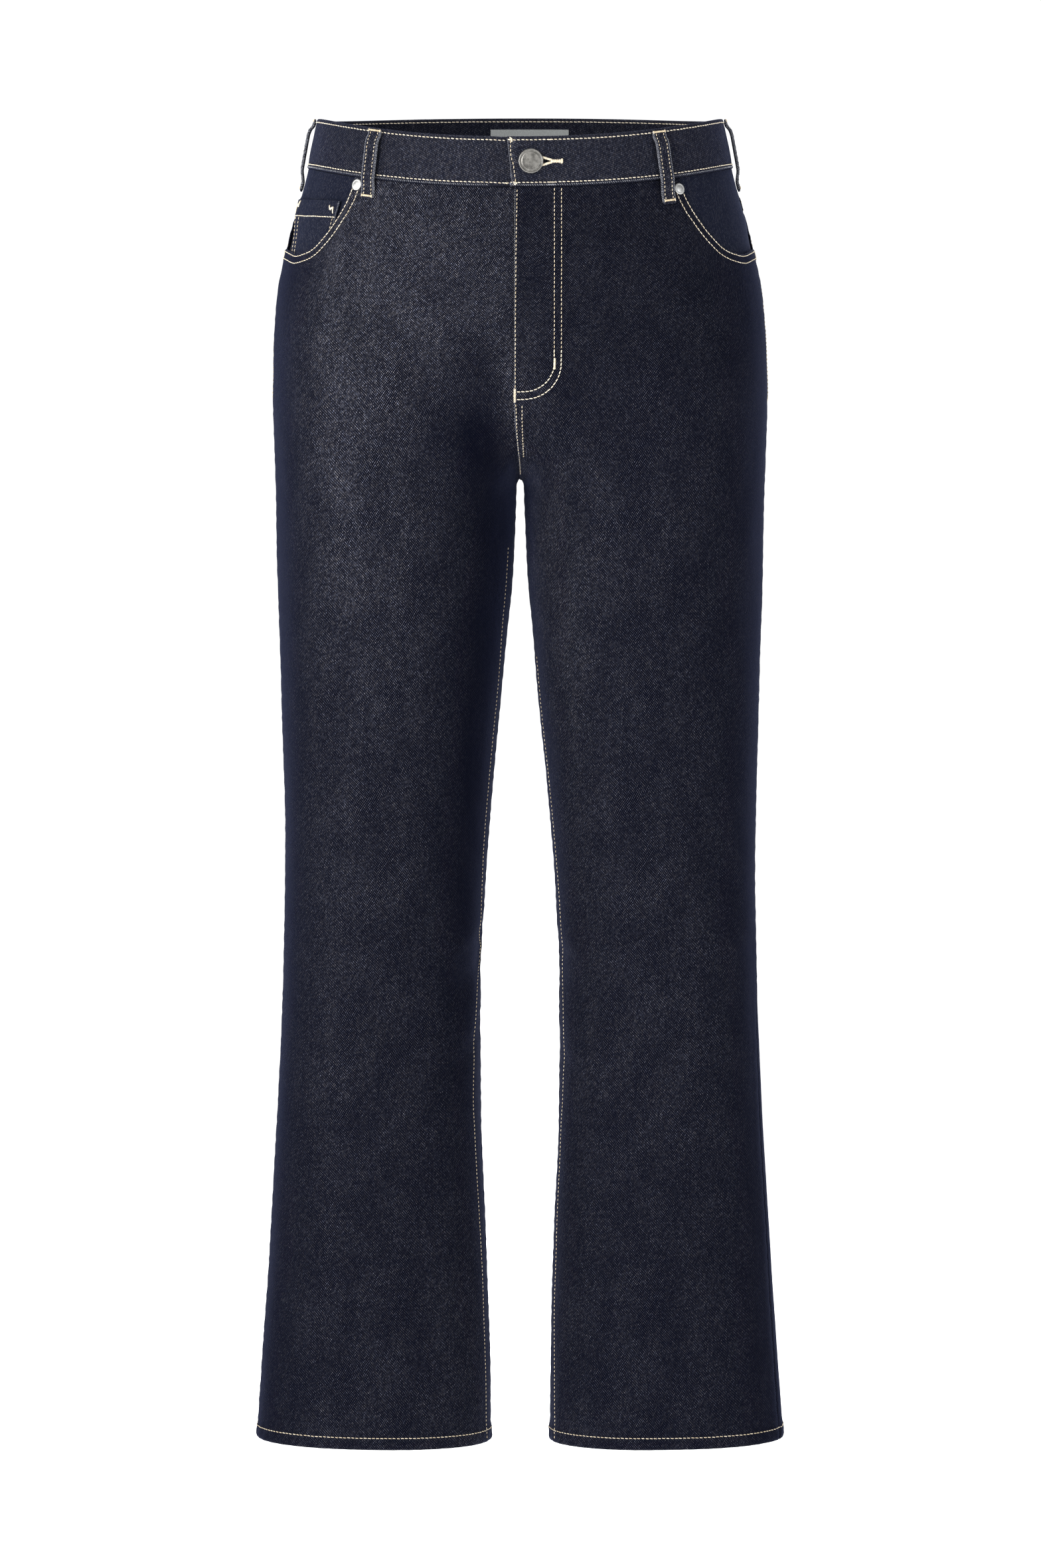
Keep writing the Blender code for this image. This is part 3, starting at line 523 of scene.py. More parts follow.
def noise_node(tree, vector, scale, detail=2.0, roughness=0.5):
    item = node(tree, "ShaderNodeTexNoise", noise_dimensions="3D")
    for key, value in (("Scale", scale), ("Detail", detail), ("Roughness", roughness), ("Vector", vector)):
        plug(tree, item.inputs[key], value)
    return item.outputs["Fac"]


def mix_colour(tree, share, a, b):
    item = node(tree, "ShaderNodeMix", data_type="RGBA")
    for socket, value in ((item.inputs["Factor"], share), (item.inputs[6], a), (item.inputs[7], b)):
        plug(tree, socket, value)
    return item.outputs[2]


def map_range(tree, value, low, high, to_low=0.0, to_high=1.0, smooth=True):
    item = node(tree, "ShaderNodeMapRange", interpolation_type="SMOOTHSTEP" if smooth else "LINEAR")
    keys = ("Value", "From Min", "From Max", "To Min", "To Max")
    for key, number in zip(keys, (value, low, high, to_low, to_high)):
        plug(tree, item.inputs[key], number)
    return item.outputs["Result"]


def combine(tree, x, y, z=0.0):
    item = node(tree, "ShaderNodeCombineXYZ")
    for socket, value in zip(item.inputs, (x, y, z)):
        plug(tree, socket, value)
    return item.outputs[0]


def split_up(tree, vector):
    item = node(tree, "ShaderNodeSeparateXYZ")
    tree.links.new(vector, item.inputs[0])
    return item.outputs


def add_bump(tree, shader, height, strength, distance):
    bump = node(tree, "ShaderNodeBump")
    for key, value in (("Strength", strength), ("Distance", distance), ("Height", height)):
        plug(tree, bump.inputs[key], value)
    tree.links.new(bump.outputs[0], shader.inputs["Normal"])


def uv_place(tree):
    return node(tree, "ShaderNodeUVMap").outputs[0]


def object_place(tree):
    return node(tree, "ShaderNodeTexCoord").outputs["Object"]


# ======== materials

TWILL_ROUGHNESS = 0.88
TWILL_SPECULAR = 0.02
# scale of the noise; how far it moves the yarns
YARN_DRIFT = ((26.0, 0.0080), (190.0, 0.0011))
FLOAT_TURN = 80.0
FLOAT_LENGTH = 1.38
RIB_SHADOW = -0.26
EVEN_SPREAD = 3.46
CLOUD_WEIGHT = 0.30
MIX_CENTRE = 0.17
PALEST = 0.42
YARN_TINTS = ((0.94, 1.00, 1.32), (1.05, 1.00, 1.06))
SHEEN_TINT = (0.38, 0.46, 0.95)


def denim_material(
    name, dye, faint=0.0022, wear_and_light=0.0195, contrast=(1.30, 1.60), slope=57.0, pitch=0.00121, rib=2.50,
    float_weight=0.50, fleck=0.25, streak=2.1, relief=0.00016,
):
    """Twill in the piece's own UV, in metres: ribs on the diagonal, crossed by the steps between floats.

    Every float shows its own share of pale yarn. The share is the exponential of an even mix, so a few
    floats are bright and most stay dark. The wear attribute gives more of it and makes it
    bolder: it is high where the cloth is worn and where a highlight is painted in, and low where shade is
    painted in, in the crotch and along the inner legs.
    """
    material, tree, shader = new_material(name, TWILL_ROUGHNESS, specular=TWILL_SPECULAR)
    uv = uv_place(tree)
    u, v, _ = split_up(tree, uv)
    # the wear attribute: real wear together with painted highlight and painted shade
    wear = node(tree, "ShaderNodeAttribute", attribute_name="wear").outputs["Fac"]

    def scaled(a, a_scale, b, b_scale):
        return combine(tree, times(tree, a, a_scale), times(tree, b, b_scale))

    drift = None
    for scale, distance in YARN_DRIFT:
        drift = times(tree, noise_node(tree, uv, scale, 1.0), distance, drift)
    wandered = math_node(tree, "ADD", u, drift)

    def cycles(degrees, length):
        angle = math.radians(degrees)
        here = times(tree, wandered, math.sin(angle) / length)
        return times(tree, v, -math.cos(angle) / length, here)

    def wave(value):
        return math_node(tree, "COSINE", times(tree, value, 2.0 * math.pi))

    def counted(value):
        return math_node(tree, "FLOOR", math_node(tree, "ADD", value, 0.5))

    ribs, floats = cycles(slope, pitch), cycles(slope + FLOAT_TURN, pitch * FLOAT_LENGTH)
    rib_number, float_number = counted(ribs), counted(floats)
    cell = node(tree, "ShaderNodeTexWhiteNoise", noise_dimensions="2D")
    tree.links.new(combine(tree, rib_number, float_number), cell.inputs["Vector"])
    streaks = noise_node(tree, scaled(rib_number, 1.7, floats, 0.60), 1.0, 1.0)
    cloud = noise_node(tree, scaled(u, 62.0, v, 24.0), 1.0, 2.0, 0.6)
    patch = map_range(tree, noise_node(tree, scaled(u, 34.0, v, 20.0), 1.0, 2.0), 0.36, 0.62, 0.70, 1.0)
    boldness = times(tree, patch, rib)

    total = times(tree, wave(ribs), boldness)
    for value, weight in (
        (times(tree, boldness, boldness), RIB_SHADOW), (wave(floats), float_weight),
        (cell.outputs["Value"], fleck * EVEN_SPREAD), (streaks, streak), (cloud, CLOUD_WEIGHT),
    ):
        total = times(tree, value, weight, total)
    middle = fleck * EVEN_SPREAD / 2.0 + streak / 2.0 + MIX_CENTRE
    total = math_node(tree, "SUBTRACT", total, middle)
    bold = map_range(tree, wear, 0.0, 1.0, *contrast, smooth=False)
    amount = math_node(tree, "EXPONENT", times(tree, total, bold))
    # the attribute scales the pale yarn, so its painted highlight and painted shade go into the colour here
    amount = times(tree, amount, map_range(tree, wear, 0.0, 1.0, faint, wear_and_light, smooth=False))
    amount = math_node(tree, "MINIMUM", amount, PALEST)

    pick = node(tree, "ShaderNodeSeparateColor")
    tree.links.new(cell.outputs["Color"], pick.inputs[0])
    tint = mix_colour(tree, pick.outputs["Blue"], *YARN_TINTS)
    yarn = node(tree, "ShaderNodeVectorMath", operation="SCALE")
    plug(tree, yarn.inputs[0], tint)
    plug(tree, yarn.inputs["Scale"], amount)
    add = node(tree, "ShaderNodeVectorMath", operation="ADD")
    plug(tree, add.inputs[0], yarn.outputs[0])
    add.inputs[1].default_value = dye
    plug(tree, shader.inputs["Base Color"], add.outputs[0])
    add_bump(tree, shader, times(tree, wave(floats), 0.4, wave(ribs)), 0.5, relief)
    shader.inputs["Sheen Weight"].default_value = 0.13
    shader.inputs["Sheen Roughness"].default_value = 0.34
    plug(tree, shader.inputs["Sheen Tint"], SHEEN_TINT)
    return material


def thread_material(name, pale, deep):
    """Twisted cotton-wrapped thread: each stitch has its own tone from an attribute."""
    material, tree, shader = new_material(name, 0.62, specular=0.3)
    tone = node(tree, "ShaderNodeAttribute", attribute_name="tone").outputs["Fac"]
    grain = noise_node(tree, object_place(tree), 2600.0, 1.0)
    share = times(tree, grain, 0.35, times(tree, tone, 0.75))
    plug(tree, shader.inputs["Base Color"], mix_colour(tree, share, deep, pale))
    add_bump(tree, shader, grain, 0.4, 0.0001)
    shader.inputs["Sheen Weight"].default_value = 0.15
    return material


def metal_material(name, pale, dark, roughness):
    """Aged nickel: brushed grain, with blotches that mix a darker and a paler tone and vary the gloss."""
    material, tree, shader = new_material(name, roughness, metallic=0.92, specular=0.5)
    place = object_place(tree)
    stretched = node(tree, "ShaderNodeMapping")
    stretched.inputs["Scale"].default_value = (420.0, 420.0, 5200.0)
    plug(tree, stretched.inputs["Vector"], place)
    brushed = noise_node(tree, stretched.outputs[0], 1.0, 3.0)
    blotch = noise_node(tree, place, 210.0, 3.0, 0.55)
    share = map_range(tree, times(tree, brushed, 0.5, blotch), 0.35, 1.15)
    plug(tree, shader.inputs["Base Color"], mix_colour(tree, share, dark, pale))
    dulled = map_range(tree, blotch, 0.3, 0.7, roughness - 0.08, roughness + 0.12)
    plug(tree, shader.inputs["Roughness"], dulled)
    add_bump(tree, shader, brushed, 0.25, 0.00006)
    return material


def label_material():
    """Satin label: fine crosswise weave."""
    material, tree, shader = new_material("label_satin", 0.55)
    uv = uv_place(tree)
    weft = math_node(tree, "SINE", times(tree, split_up(tree, uv)[1], 2.0 * math.pi / 0.0007))
    share = times(tree, weft, 0.12, noise_node(tree, uv, 900.0, 2.0))
    plug(tree, shader.inputs["Base Color"], mix_colour(tree, share, (0.20, 0.21, 0.21), (0.46, 0.48, 0.48)))
    shader.inputs["Sheen Weight"].default_value = 0.2
    return material


def tape_material():
    """Zip tape: fine herringbone of dark polyester, in the tape's own place."""
    material, tree, shader = new_material("zip_tape_weave", 0.72, specular=0.2)
    place = object_place(tree)
    x, _, z = split_up(tree, place)
    climb = math_node(tree, "ADD", math_node(tree, "PINGPONG", x, 0.0016), z)
    rib = math_node(tree, "SINE", times(tree, climb, 2.0 * math.pi / 0.0008))
    share = times(tree, rib, 0.30, noise_node(tree, place, 1400.0, 2.0))
    colour = mix_colour(tree, share, (0.006, 0.007, 0.012), (0.035, 0.037, 0.050))
    plug(tree, shader.inputs["Base Color"], colour)
    add_bump(tree, shader, share, 0.5, 0.0001)
    shader.inputs["Sheen Weight"].default_value = 0.2
    return material


def make_materials():
    return {
        "denim": denim_material("denim_twill", (0.0014, 0.0019, 0.0062)),
        "reverse": denim_material(
            "denim_reverse", (0.012, 0.0125, 0.020), faint=0.030, wear_and_light=0.050, contrast=(0.5, 0.6),
            slope=120.0,
        ),
        "band": denim_material(
            "denim_waistband", (0.0030, 0.0038, 0.0096), faint=0.0090, wear_and_light=0.0260, contrast=(0.95, 1.10),
            slope=74.0, pitch=0.00108, rib=1.60, float_weight=0.66, fleck=0.40, streak=2.0,
        ),
        "facing": denim_material(
            "denim_facing", (0.0052, 0.0070, 0.0158), faint=0.0036, wear_and_light=0.030, contrast=(0.75, 0.90),
            pitch=0.00108, rib=1.20, float_weight=0.80, fleck=0.60, streak=1.6, relief=0.00008,
        ),
        "thread": thread_material("thread_cream", (0.93, 0.84, 0.67), (0.60, 0.49, 0.33)),
        "thread_ochre": thread_material("thread_ochre", (0.92, 0.79, 0.57), (0.60, 0.44, 0.25)),
        "float": thread_material("twill_float", (0.300, 0.310, 0.350), (0.022, 0.025, 0.040)),
        "tape": tape_material(),
        "steel": metal_material("aged_nickel", (0.32, 0.31, 0.29), (0.17, 0.165, 0.155), 0.40),
        "rivet": metal_material("rivet_nickel", (0.66, 0.66, 0.65), (0.40, 0.40, 0.39), 0.44),
        "label": label_material(),
    }


# ======== making meshes

def select_only(item):
    bpy.ops.object.select_all(action="DESELECT")
    item.select_set(True)
    bpy.context.view_layer.objects.active = item


def apply_modifiers(item):
    select_only(item)
    for modifier in list(item.modifiers):
        bpy.ops.object.modifier_apply(modifier=modifier.name)


def face_outwards(item):
    select_only(item)
    bpy.ops.object.mode_set(mode="EDIT")
    bpy.ops.mesh.select_all(action="SELECT")
    bpy.ops.mesh.normals_make_consistent(inside=False)
    bpy.ops.object.mode_set(mode="OBJECT")


def smooth_and_keep(item, degrees):
    """Smooths the edges that turn by less than an angle, and counts the piece as made."""
    select_only(item)
    bpy.ops.object.shade_smooth_by_angle(angle=math.radians(degrees))
    made[item.name] = item


def mesh_object(name, points, faces, materials):
    mesh = bpy.data.meshes.new(name)
    mesh.from_pydata([tuple(map(float, point)) for point in points], [], faces)
    for material in materials:
        mesh.materials.append(material)
    item = bpy.data.objects.new(name, mesh)
    bpy.context.collection.objects.link(item)
    return item


def set_point_values(item, name, values):
    attribute = item.data.attributes.new(name, "FLOAT", "POINT")
    attribute.data.foreach_set("value", np.asarray(values, np.float32))


def set_uv(item, uv):
    """Gives every corner the UV of its point."""
    layer = item.data.uv_layers.new(name="UVMap")
    corners = np.zeros(len(item.data.loops), np.int32)
    item.data.loops.foreach_get("vertex_index", corners)
    layer.data.foreach_set("uv", np.asarray(uv, np.float32)[corners].ravel())


def ring_faces(first, count, size):
    """Faces between rings of points, and over the first and last of them."""
    faces = []
    for i in range(count - 1):
        for k in range(size):
            after = (k + 1) % size
            corners = (i * size + k, i * size + after, (i + 1) * size + after, (i + 1) * size + k)
            faces.append(tuple(first + corner for corner in corners))
    faces.append(tuple(first + k for k in range(size))[::-1])
    faces.append(tuple(first + (count - 1) * size + k for k in range(size)))
    return faces


def grid_faces(heights, widths, outward):
    faces = []
    for i in range(heights - 1):
        for k in range(widths - 1):
            corner = i * widths + k
            face = (corner, corner + widths, corner + widths + 1, corner + 1)
            faces.append(face if outward < 0 else face[::-1])
    return faces


def grid_normals(points, outward):
    """Outward unit normals of a grid of points, from the slopes of its rows and columns."""
    down = np.gradient(points, axis=0)
    across = np.gradient(points, axis=1)
    normals = np.cross(across, down) * outward
    return normals / np.maximum(np.linalg.norm(normals, axis=2, keepdims=True), 1e-12)


def walked(points, axis):
    """Length walked along a grid's rows (axis 1) or columns (axis 0) up to each point."""
    steps = np.linalg.norm(np.diff(points, axis=axis), axis=2)
    lengths = np.zeros(points.shape[:2])
    if axis == 1:
        lengths[:, 1:] = np.cumsum(steps, axis=1)
    else:
        lengths[1:, :] = np.cumsum(steps, axis=0)
    return lengths


def grid_cloth(name, points, outward, thickness, materials, u, v, wear):
    """A shell of cloth on a grid of points of its outer face, with its wall behind them."""
    heights, widths = points.shape[:2]
    item = mesh_object(name, points.reshape(-1, 3), grid_faces(heights, widths, outward), materials)
    set_uv(item, np.stack([u.ravel(), v.ravel()], axis=1))
    set_point_values(item, "wear", wear.ravel())
    wall = item.modifiers.new("wall", "SOLIDIFY")
    wall.thickness = thickness
    wall.offset = -1.0
    wall.use_even_offset = False
    wall.material_offset = len(materials) - 1
    apply_modifiers(item)
    smooth_and_keep(item, 40.0)


# ======== panels

# side; around; drop; half width around; half height; how much paler, partly wear and partly painted
# highlight where the key light rakes the wearer's right; where negative, darker, mostly painted shade in the
# crotch and along the inner legs
WEAR_AND_PAINTED_LIGHT_ROWS = (
    (-1, 0.58, 0.115, 0.085, 0.100, 0.30), (-1, 0.30, 0.160, 0.035, 0.080, 0.14),
    (-1, 0.62, 0.075, 0.060, 0.090, 0.60), (-1, 0.52, 0.185, 0.050, 0.070, 0.32),
    (-1, 0.40, 0.330, 0.040, 0.120, 0.40), (-1, 0.36, 0.250, 0.030, 0.080, 0.18),
    (-1, 0.46, 0.560, 0.035, 0.120, 0.08), (-1, 0.22, 0.760, 0.035, 0.160, 0.20),
    (-1, 0.73, 0.220, 0.022, 0.070, -0.26), (-1, 0.90, 0.500, 0.040, 0.150, -0.30),
    (-1, 0.50, 0.900, 0.060, 0.120, -0.06), (-1, 0.55, 0.225, 0.026, 0.080, -0.15),
    (-1, 0.90, 0.260, 0.018, 0.035, 0.24), (-1, 0.24, 0.450, 0.028, 0.260, 0.13),
    (-1, 0.96, 0.110, 0.026, 0.100, 0.25), (-1, 0.95, 0.215, 0.016, 0.030, 0.40),
    (-1, 0.72, 0.260, 0.030, 0.030, -0.25), (-1, 0.86, 0.360, 0.030, 0.110, -0.30),
    (-1, 0.80, 0.560, 0.030, 0.140, -0.14), (-1, 0.84, 0.760, 0.030, 0.140, -0.16),
    (1, 0.94, 0.230, 0.022, 0.050, 0.22), (1, 0.93, 0.345, 0.034, 0.080, 0.42),
    (1, 0.74, 0.430, 0.032, 0.110, 0.24), (1, 0.56, 0.330, 0.030, 0.040, 0.14),
    (1, 0.90, 0.130, 0.040, 0.080, 0.10), (1, 0.52, 0.600, 0.050, 0.120, 0.06),
    (1, 0.46, 0.760, 0.045, 0.110, 0.08), (1, 0.84, 0.780, 0.030, 0.100, 0.07),
    (1, 0.50, 0.930, 0.050, 0.090, -0.03),
    (-1, -0.62, 0.200, 0.060, 0.080, 0.30), (1, -0.62, 0.200, 0.060, 0.080, 0.28),
    (-1, -0.50, 0.500, 0.060, 0.180, 0.22), (1, -0.50, 0.500, 0.060, 0.180, 0.22),
)
# higher on the wearer's right, which the key light falls on: painted highlight
FRONT_WEAR_AND_HIGHLIGHT = {-1: 0.34, 1: 0.27}
WEAR_LEAST = 0.03
# less pale yarn along the inseam below the crotch: painted shade between the legs, deepest on the wearer's
# right
INSEAM_PAINTED_SHADE = {-1: 0.50, 1: 0.10}


def wear_and_painted_light_at(side, around, drop):
    """How much pale yarn shows at a place: most on the front of the thighs, least at the sides.

    This is wear together with painted light: painted highlight on the front of the thighs and on the
    wearer's right, where the key light rakes the twill, and painted shade in the crotch and along the
    inseam.
    """
    # painted shade along the inseam, between the legs
    inner = INSEAM_PAINTED_SHADE[side] * smoothstep(0.86, 1.0, abs(around)) * (drop > 0.30)
    front = smoothstep(0.08, 0.44, abs(around)) * (1.0 - inner)
    value = FRONT_WEAR_AND_HIGHLIGHT[side] * front + WEAR_LEAST
    # rows of wear, painted highlight and painted shade
    for row_side, row_around, row_drop, half_around, half_drop, wear_and_light in WEAR_AND_PAINTED_LIGHT_ROWS:
        if row_side != side or row_around * around < 0.0:
            continue
        x, y = (around - row_around) * QUARTER_GIRTH / half_around, (drop - row_drop) / half_drop
        value += wear_and_light * math.exp(-(x * x + y * y) / 1.4) * front
    return min(1.0, max(0.0, value))


def fine_shares(side, drop):
    """Places of a panel's columns, the solids' own columns divided further."""
    torso = fade(*HIPS_BLEND, drop)
    last = len(PANEL_SHARES) - 1
    shares = []
    for k in range(last):
        for part in range(SHARE_PARTS):
            hips = mix(PANEL_SHARES[k], PANEL_SHARES[k + 1], part / SHARE_PARTS)
            hips += side * MOUTH_SHIFT * math.sin(math.pi * hips) ** 2
            shares.append(mix((k + part / SHARE_PARTS) / last, hips, torso))
    shares.append(1.0)
    shares[0], shares[-1] = EDGE_SHARE, 1.0 - EDGE_SHARE
    near = [0.0026, 0.0056]
    return [shares[0]] + near + shares[1:-1] + [1.0 - share for share in near[::-1]] + [shares[-1]]


def stretch(start, end, step):
    """Levels from start up to but not including end, evenly spaced by about a step."""
    count = max(1, round((end - start) / step))
    return [mix(start, end, k / count) for k in range(count)]


TOP_EDGE_DROPS = (0.0, 0.0006, 0.0014, 0.0026, 0.0042)
TOP_EDGE_TO = 0.0062
CROTCH_CREASES = (0.270, 0.335)
HEM_EDGE = 0.0008
LEVEL_STEPS = (0.0027, 0.0032, 0.0022, 0.0038, 0.0017)


def fine_levels(top, settles):
    """Drops of a panel's rows, closest at its edges and among the creases of the crotch."""
    stops = (top + TOP_EDGE_TO, settles, *CROTCH_CREASES, HEM_DROP - HEM_DEPTH, HEM_DROP - HEM_EDGE)
    levels = [top + down for down in TOP_EDGE_DROPS]
    for start, end, step in zip(stops, stops[1:], LEVEL_STEPS):
        levels += stretch(start, end, step)
    return levels + [HEM_DROP - HEM_EDGE, HEM_DROP]


def turning_height(turning, away):
    """Height of the cloth over its own turned edge, at a distance from the fold."""
    height, full_to, gone_at = turning
    return height * fade(full_to, gone_at, away)


def roll_depth(roll, away):
    """How far the cloth rounds off towards a fold or an edge, at a distance from it."""
    depth, half_width = roll
    return depth * hump(away, half_width)


def fly_rise(x, drop):
    """Height of the fly's turned facing under the left front, from its J-shaped outline."""
    past_x, past_drop = x - J_OUTER_X + J_CORNER, drop - J_OUTER_FOOT + J_CORNER
    if past_x > 0.0 and past_drop > 0.0:
        outside = math.hypot(past_x, past_drop) - J_CORNER
    else:
        outside = max(x - J_OUTER_X, drop - J_OUTER_FOOT)
    return turning_height(FLY_FACING, outside)


# height; full to; gone at, as every turning and the hem's rope below
FLY_FACING = (0.0006, 0.0004, 0.0034)

# height over its allowances; full to; gone at; depth of its groove; half width; height of its puckers;
# length; unevenness; reach
SEAM_RELIEF = {
    "side": (0.00035, 0.009, 0.013, 0.0006, 0.0012, 0.00030, 0.0021, 4.0, 0.009),
    "inseam_front": (0.00055, 0.0058, 0.0082, 0.0005, 0.0011, 0.00026, 0.0019, 3.0, 0.008),
    "inseam_back": (0.0, 0.0058, 0.0082, 0.0005, 0.0011, 0.00026, 0.0019, 3.0, 0.008),
    "front_left": (0.0005, 0.006, 0.012, 0.0006, 0.0006, 0.00022, 0.0016, 3.0, 0.012),
    "front_right": (-0.0012, 0.004, 0.016, 0.0, 0.001, 0.0, 0.001, 0.0, 0.001),
    "back_left": (0.0005, 0.009, 0.012, 0.0005, 0.0006, 0.0, 0.001, 0.0, 0.001),
    "back_right": (-0.0004, 0.003, 0.012, 0.0, 0.001, 0.0, 0.001, 0.0, 0.001),
}


def seam_relief(name, away, drop, wobble):
    """Height of the cloth beside a seam: over its allowances, in its groove and on its thread's puckers."""
    height, full_to, gone_at, depth, half_width, pucker, length, uneven, reach = SEAM_RELIEF[name]
    lift = height * fade(full_to, gone_at, away) - depth * hump(away, half_width)
    return lift + pucker * math.sin(drop / length + uneven * wobble) * math.exp(-away / reach)


# height; size around; size down; start
UNEVEN_ROWS = ((0.0009, 0.070, 0.150, 3.1), (0.0004, 0.026, 0.060, 7.7))
# depth; half width, as every roll below
EDGE_ROLL = (0.0007, 0.0007)
TOP_EDGE_TURNING = {"front": (0.0004, 0.008, 0.011), "back": (-0.0003, 0.003, 0.010)}
MOUTH_TURN_TO = 0.40
HEM_RELIEF_TO = 0.030
HEM_TURNING = (0.0007, 0.0100, 0.0125)
HEM_ROLL = (0.0009, 0.0010)
HEM_ROPE = (0.00028, 0.009, 0.020)
HEM_ROPE_LENGTH = 0.0019
HEM_ROPE_SLANT = 0.6


def hem_relief(side, up, from_out):
    """A hem folded up twice, rolled at its edge and roped by its stitching."""
    wobble = 2.0 * unevenness(from_out * 60.0, side, 4.0)
    rope = math.sin((from_out - HEM_ROPE_SLANT * up) / HEM_ROPE_LENGTH + wobble)
    return turning_height(HEM_TURNING, up) - roll_depth(HEM_ROLL, up) + rope * turning_height(HEM_ROPE, up)


def panel_relief(side, face, around, drop, point, from_out, from_in, edge):
    """How far the fine form of a panel stands proud of the plain form, in metres."""
    lift = -trough_depth(CREASE_ROWS, side, around, drop)
    for height, size, size_down, start in UNEVEN_ROWS:
        lift += height * unevenness(point.x / size, point.y / size, point.z / size_down + start)
    wobble = unevenness(drop * 90.0, side * 3.0, 1.5)
    lift += seam_relief("side", from_out, drop, wobble)
    inner_seam = f"inseam_{face}" if drop > CROTCH_DROP else f"{face}_{WORDS[side]}"
    lift += seam_relief(inner_seam, from_in, drop, wobble)
    if inner_seam == "front_left":
        lift += fly_rise(point.x, drop)
    lift += turning_height(TOP_EDGE_TURNING[face], edge) * (around < MOUTH_TURN_TO)
    lift -= roll_depth(EDGE_ROLL, edge)
    if HEM_DROP - drop < HEM_RELIEF_TO:
        lift += hem_relief(side, HEM_DROP - drop, from_out)
    return lift


# a paler line along the pocket mouth's folded edge: painted highlight
MOUTH_EDGE_HIGHLIGHT = 0.45
MOUTH_EDGE_HIGHLIGHT_WIDTH = 0.0016
STEEPEST = 0.35


def make_panel(side, face, top_line, settles, mats):
    top = min(top_line(side, 0.0), top_line(side, 1.0))
    places, base = [], []
    for level in fine_levels(top, settles):
        lowered = max(0.0, 1.0 - (level - top) / (settles - top))
        row = []
        for share in fine_shares(side, level):
            drop = level + (top_line(side, share) - top) * lowered
            row.append((share, around_of(side, face, share, drop), drop))
        places.append(row)
        base.append([form_point(side, around, drop) for _, around, drop in row])
    points = np.array([[tuple(point) for point in row] for row in base])
    outward = side if face == "front" else -side
    normals = grid_normals(points, outward)
    along = walked(points, 1)
    lifts, wear = np.zeros(points.shape[:2]), np.zeros(points.shape[:2])
    step = 0.002
    for i, row in enumerate(places):
        total = along[i, -1]
        for k, (share, around, drop) in enumerate(row):
            slope = top_line(side, min(1.0, share + step)) - top_line(side, max(0.0, share - step))
            slope_cos = max(STEEPEST, 1.0 / math.hypot(1.0, slope / (2.0 * step * total)))
            edge = (drop - top_line(side, share)) * slope_cos
            lifts[i, k] = panel_relief(
                side, face, around, drop, base[i][k], along[i, k], total - along[i, k], edge,
            )
            wear[i, k] = wear_and_painted_light_at(side, around, drop)
            # painted highlight along the pocket mouth's folded edge
            if face == "front" and share < MOUTH_ROWS[-1][0]:
                wear[i, k] += MOUTH_EDGE_HIGHLIGHT * hump(edge, MOUTH_EDGE_HIGHLIGHT_WIDTH)
    points = points + normals * lifts[:, :, None]
    grain = np.array([np.interp(-GRAIN_X, -side * row[:, 0], length) for row, length in zip(points, along)])
    u = (along - grain[:, None]) * -outward
    v = -np.array([[drop for _, _, drop in row] for row in places])
    materials = [mats["denim"], mats["reverse"]]
    grid_cloth(f"cloth_{face}_{WORDS[side]}", points, outward, CLOTH, materials, u, v, wear)


def patch_cloth(name, place, grid, outward, thickness, materials, direction, relief=None):
    """A smaller piece of cloth: place(across, down) gives its point, both from 0 to 1."""
    columns, levels, wear_and_light = grid
    across, downs = spread(0.0, 1.0, columns), spread(0.0, 1.0, levels)
    points = np.array([[tuple(place(x, y)) for x in across] for y in downs])
    if relief:
        lifts = np.array([[relief(x, y) for x in across] for y in downs])
        points = points + grid_normals(points, outward) * lifts[:, :, None]
    along, down = walked(points, 1), walked(points, 0)
    wear = np.full(points.shape[:2], wear_and_light)
    grid_cloth(name, points, outward, thickness, materials, along * direction, -down, wear)


# columns; levels; value of the wear and painted light attribute, as every grid below
YOKE_GRID = (90, 26, 0.26)
YOKE_GATHER = 1.15
YOKE_FOOT_TURNING = (0.0006, 0.010, 0.013)
YOKE_CENTRE_TURNING = (0.0004, 0.009, 0.013)
YOKE_ROLL = (0.0006, 0.0008)
PATCH_ROLL = (0.0006, 0.0009)


def make_yoke(side, mats):
    top = BAND_DROP + SEAM_GAP

    def place(across, down):
        share = min(1.0, max(0.0003, across ** YOKE_GATHER))
        drop = mix(top, yoke_line(side, share) - SEAM_GAP, down)
        return form_point(side, -share, drop)

    def relief(across, down):
        height = mix(YOKE_SIDE, YOKE_CENTRE, across)
        up, edge = (1.0 - down) * height, (1.0 - across) * YOKE_LENGTH
        lift = turning_height(YOKE_FOOT_TURNING, up) - roll_depth(YOKE_ROLL, up)
        if side > 0:
            lift += turning_height(YOKE_CENTRE_TURNING, edge)
        return lift + 0.0005 * unevenness(across * 5.0, down * 2.0, side * 2.0)

    name, materials = f"cloth_yoke_{WORDS[side]}", [mats["denim"], mats["reverse"]]
    patch_cloth(name, place, YOKE_GRID, -side, CLOTH, materials, side, relief)


FACING_GRID = (46, 56, 0.10)
FACING_FLUSH_AROUND = (0.02, 0.16)
FACING_FLUSH_DROPS = (0.080, 0.100)


def facing_sink(side, around, drop):
    """How deep a facing lies: flush beside the side seam above the mouth, behind the panel below."""
    flush = fade(*FACING_FLUSH_AROUND, around) * fade(*FACING_FLUSH_DROPS, drop)
    return mix(FACING_SINK[side], SEAM_GAP, flush)


